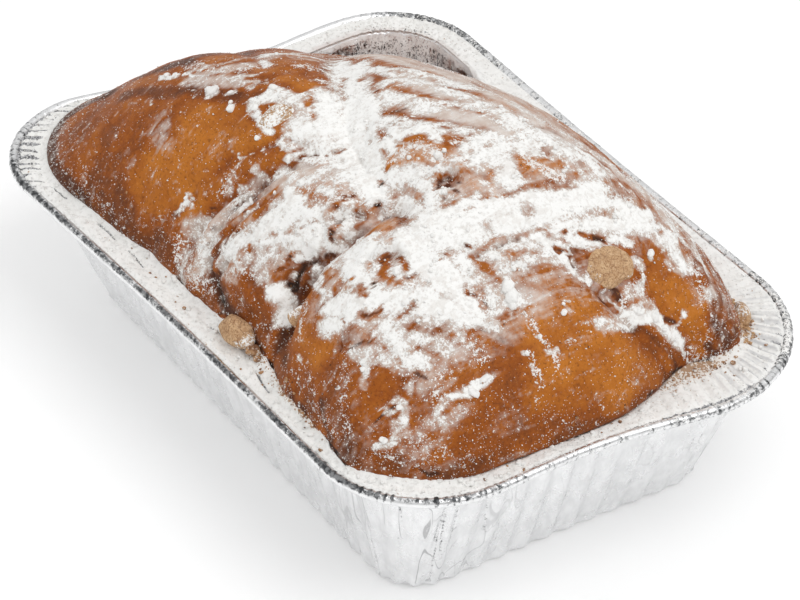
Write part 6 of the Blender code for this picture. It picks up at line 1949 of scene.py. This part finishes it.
def strew(pile, table, seed):
    for c, (mid, spread, n_c, sizes) in enumerate(table):
        for k in range(n_c):
            x, y = np.array(mid) + crng.normal(size=2) * spread
            best = None
            for t in (flange_tree, tree):
                hit, normal, _, _ = t.ray_cast(Vector((x, y, 120.0)), Vector((0, 0, -1)))
                if hit is not None and (best is None or hit.z > best[0].z):
                    best = (hit, normal)
            if best is None:
                continue
            r = sizes[0] + (sizes[1] - sizes[0]) * crng.random() ** 1.5
            up = np.array(best[1]) if best[1].z > 0 else np.array((0, 0, 1.0))
            v, f = lumpy(3, np.array([r, r * crng.uniform(0.55, 0.9), r * crng.uniform(0.4, 0.7)]), np.array(best[0]),
                         up, crng.uniform(0, 6.28), 0.6, seed + c * 20 + k, 0.25)
            pile.add(v, f)


pile = Pile()
strew(pile, CRUMBS, 0)
# A torn piece of crust beside the front nut.
for place, size in (((24.6, -59.8, 47.9), (2.5, 1.6, 1.6)), ((27.6, -60.4, 47.6), (1.4, 1.0, 1.0))):
    v, f = lumpy(4, np.array(size), np.array(place), np.array((0.1, -0.35, 0.9)), 0.3, 0.6, 77, 0.2)
    pile.add(v, f)
pile.mesh("crumbs", crumb_material(), "crust")

# Chopped nuts: node, half sizes, turn, how much sugar, the cut faces' directions and distances.
NUTS = (
    ("nut_front_side", (6.8, 3.7, 3.7), 5, 0.20, False, ((0.62, -0.1, 0.75, 0.52), (-0.1, -0.85, 0.5, 0.66), (-0.85, -0.3, 0.45, 0.74))),
    ("nut_crevice", (3.6, 3.0, 3.2), 60, 0.45, False, ((0.5, -0.6, 0.6, 0.80), (-0.7, -0.3, 0.6, 0.82))),
    ("nut_right_top", (8.4, 6.5, 3.1), 90, 0.14, True, ((0.0, 0.0, 1.0, 0.84), (0.9, 0.2, 0.2, 0.86), (-0.5, 0.8, 0.1, 0.86),
                                                      (-0.3, -0.9, 0.1, 0.88))),
    ("nut_left_top", (6.3, 5.2, 2.8), 70, 0.42, True, ((0.0, 0.1, 1.0, 0.82), (0.8, -0.5, 0.2, 0.84), (-0.6, 0.7, 0.2, 0.86))),
    ("nut_right_end", (4.4, 2.5, 2.6), 157, 0.40, False, ((0.6, -0.6, 0.5, 0.78), (-0.5, -0.6, 0.6, 0.80))),
)
nut_mat = nut_material()
for k, (name, half, turn, powder, flush, cuts) in enumerate(NUTS):
    lo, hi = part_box(name)
    centre = np.array((lo + hi) / 2) / MM
    v, f = ico(5)
    a = math.radians(turn)
    c, s = math.cos(a), math.sin(a)
    spin = np.array([[c, -s, 0], [s, c, 0], [0, 0, 1]])
    lean = np.eye(3)
    if flush:
        # Lies in the crust and follows its slope.
        way = sum((on_crust(centre + (dx, dy, 3.0))[1] for dx, dy in ((0, 0), (4, 0), (-4, 0), (0, 4), (0, -4))), np.zeros(3))
        lean = np.array(Vector((0, 0, 1)).rotation_difference(Vector(way).normalized()).to_matrix())
    q = v @ spin.T
    for nx, ny, nz, h in cuts:
        w = np.array((nx, ny, nz)) / np.linalg.norm((nx, ny, nz))
        h = h + 0.03 * fbm(q + k, 0.5, 3, seed=520 + k)
        over = q @ w - h
        # Flat cut with a slightly rounded rim.
        q = q - np.where(over > 0, over * (0.65 if name == "nut_front_side" else 0.90), 0.0)[:, None] * w
    uneven = 0.17 if flush else 0.09
    q = q * (1 + uneven * fbm(q + 3 * k, 0.9, 2, seed=530 + k) + 0.022 * fbm(q + 3 * k, 0.16, 3, seed=540 + k))[:, None]
    sugary = powder + 0.25 * smooth(-0.1, 0.8, q[:, 2]) * (powder > 0.3) - 0.1
    if name == "nut_right_top":
        sugary = sugary + 0.06 + 0.34 * smooth(0.42, 0.85, np.linalg.norm(q[:, :2], axis=1)) * smooth(-0.30, 0.20, fbm(q, 0.7, 2, seed=560))
    if name == "nut_front_side":
        sugary = sugary - 0.10 + 0.56 * smooth(-0.05, 0.8, q[:, 0])
    q = q @ spin
    p = (q * (np.array(half) * 1.02) @ spin.T) @ lean.T + centre
    skin = np.clip(0.15 + 0.6 * smooth(0.2, -0.6, q[:, 2]), 0, 1) * 0.6
    obj = mesh_object(name + "_look", p, f.tolist(), nut_mat, {"sugar": sugary, "skin": skin})
    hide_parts(name)
    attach(obj, "root")
pile = Pile()
strew(pile, NUT_CRUMBS, 300)
pile.mesh("nut_crumbs", nut_mat, "nut")

# ------------------------------------------------------------- floor and light
bpy.ops.mesh.primitive_plane_add(size=8, location=(0, 0, -0.0002))
floor = bpy.context.object
floor.name = "floor"
floor.data.materials.append(floor_material())

world = bpy.context.scene.world or bpy.data.worlds.new("world")
bpy.context.scene.world = world
world.use_nodes = True
wt = world.node_tree
way = wt.nodes.new("ShaderNodeTexCoord")
split = wt.nodes.new("ShaderNodeSeparateXYZ")
wt.links.new(way.outputs["Generated"], split.inputs[0])
rise = wt.nodes.new("ShaderNodeMapRange")
rise.interpolation_type = "SMOOTHSTEP"
for key, value in (("From Min", -0.05), ("From Max", 0.70), ("To Min", 0.42), ("To Max", 0.84)):
    rise.inputs[key].default_value = value
wt.links.new(split.outputs["Z"], rise.inputs["Value"])
wt.nodes["Background"].inputs["Color"].default_value = (1, 1, 1, 1)
wt.links.new(rise.outputs["Result"], wt.nodes["Background"].inputs["Strength"])


def area(name, place, target, size, power, colour=(1, 1, 1)):
    light = bpy.data.lights.new(name, "AREA")
    light.size = size
    light.energy = power
    light.color = colour
    obj = bpy.data.objects.new(name, light)
    obj.location = place
    obj.rotation_euler = (Vector(target) - Vector(place)).to_track_quat("-Z", "Y").to_euler()
    bpy.context.scene.collection.objects.link(obj)
    return obj


area("key", (0.70, 0.20, 1.30), (0, 0, 0.05), 1.0, 6.5)
area("fill", (-0.6, -1.0, 0.9), (0, 0, 0.05), 1.2, 1.5)

# --------------------------------------------------------------------- camera
target = Vector((0.0233, -0.0136, 0.0462))
az, el, dist = math.radians(57.78), math.radians(36.69), 1.172
back = Vector((math.sin(az) * math.cos(el), -math.cos(az) * math.cos(el), math.sin(el)))
cam = bpy.data.cameras.new("camera")
cam.sensor_width = 36
cam.lens = 196.2
camera = bpy.data.objects.new("camera", cam)
camera.location = target + back * dist
camera.rotation_euler = back.to_track_quat("Z", "Y").to_euler()
bpy.context.scene.collection.objects.link(camera)
bpy.context.scene.camera = camera

scene = bpy.context.scene
scene.view_settings.view_transform = "Standard"
scene.view_settings.look = "None"
scene.view_settings.exposure = 0.0
scene.view_settings.gamma = 1.0
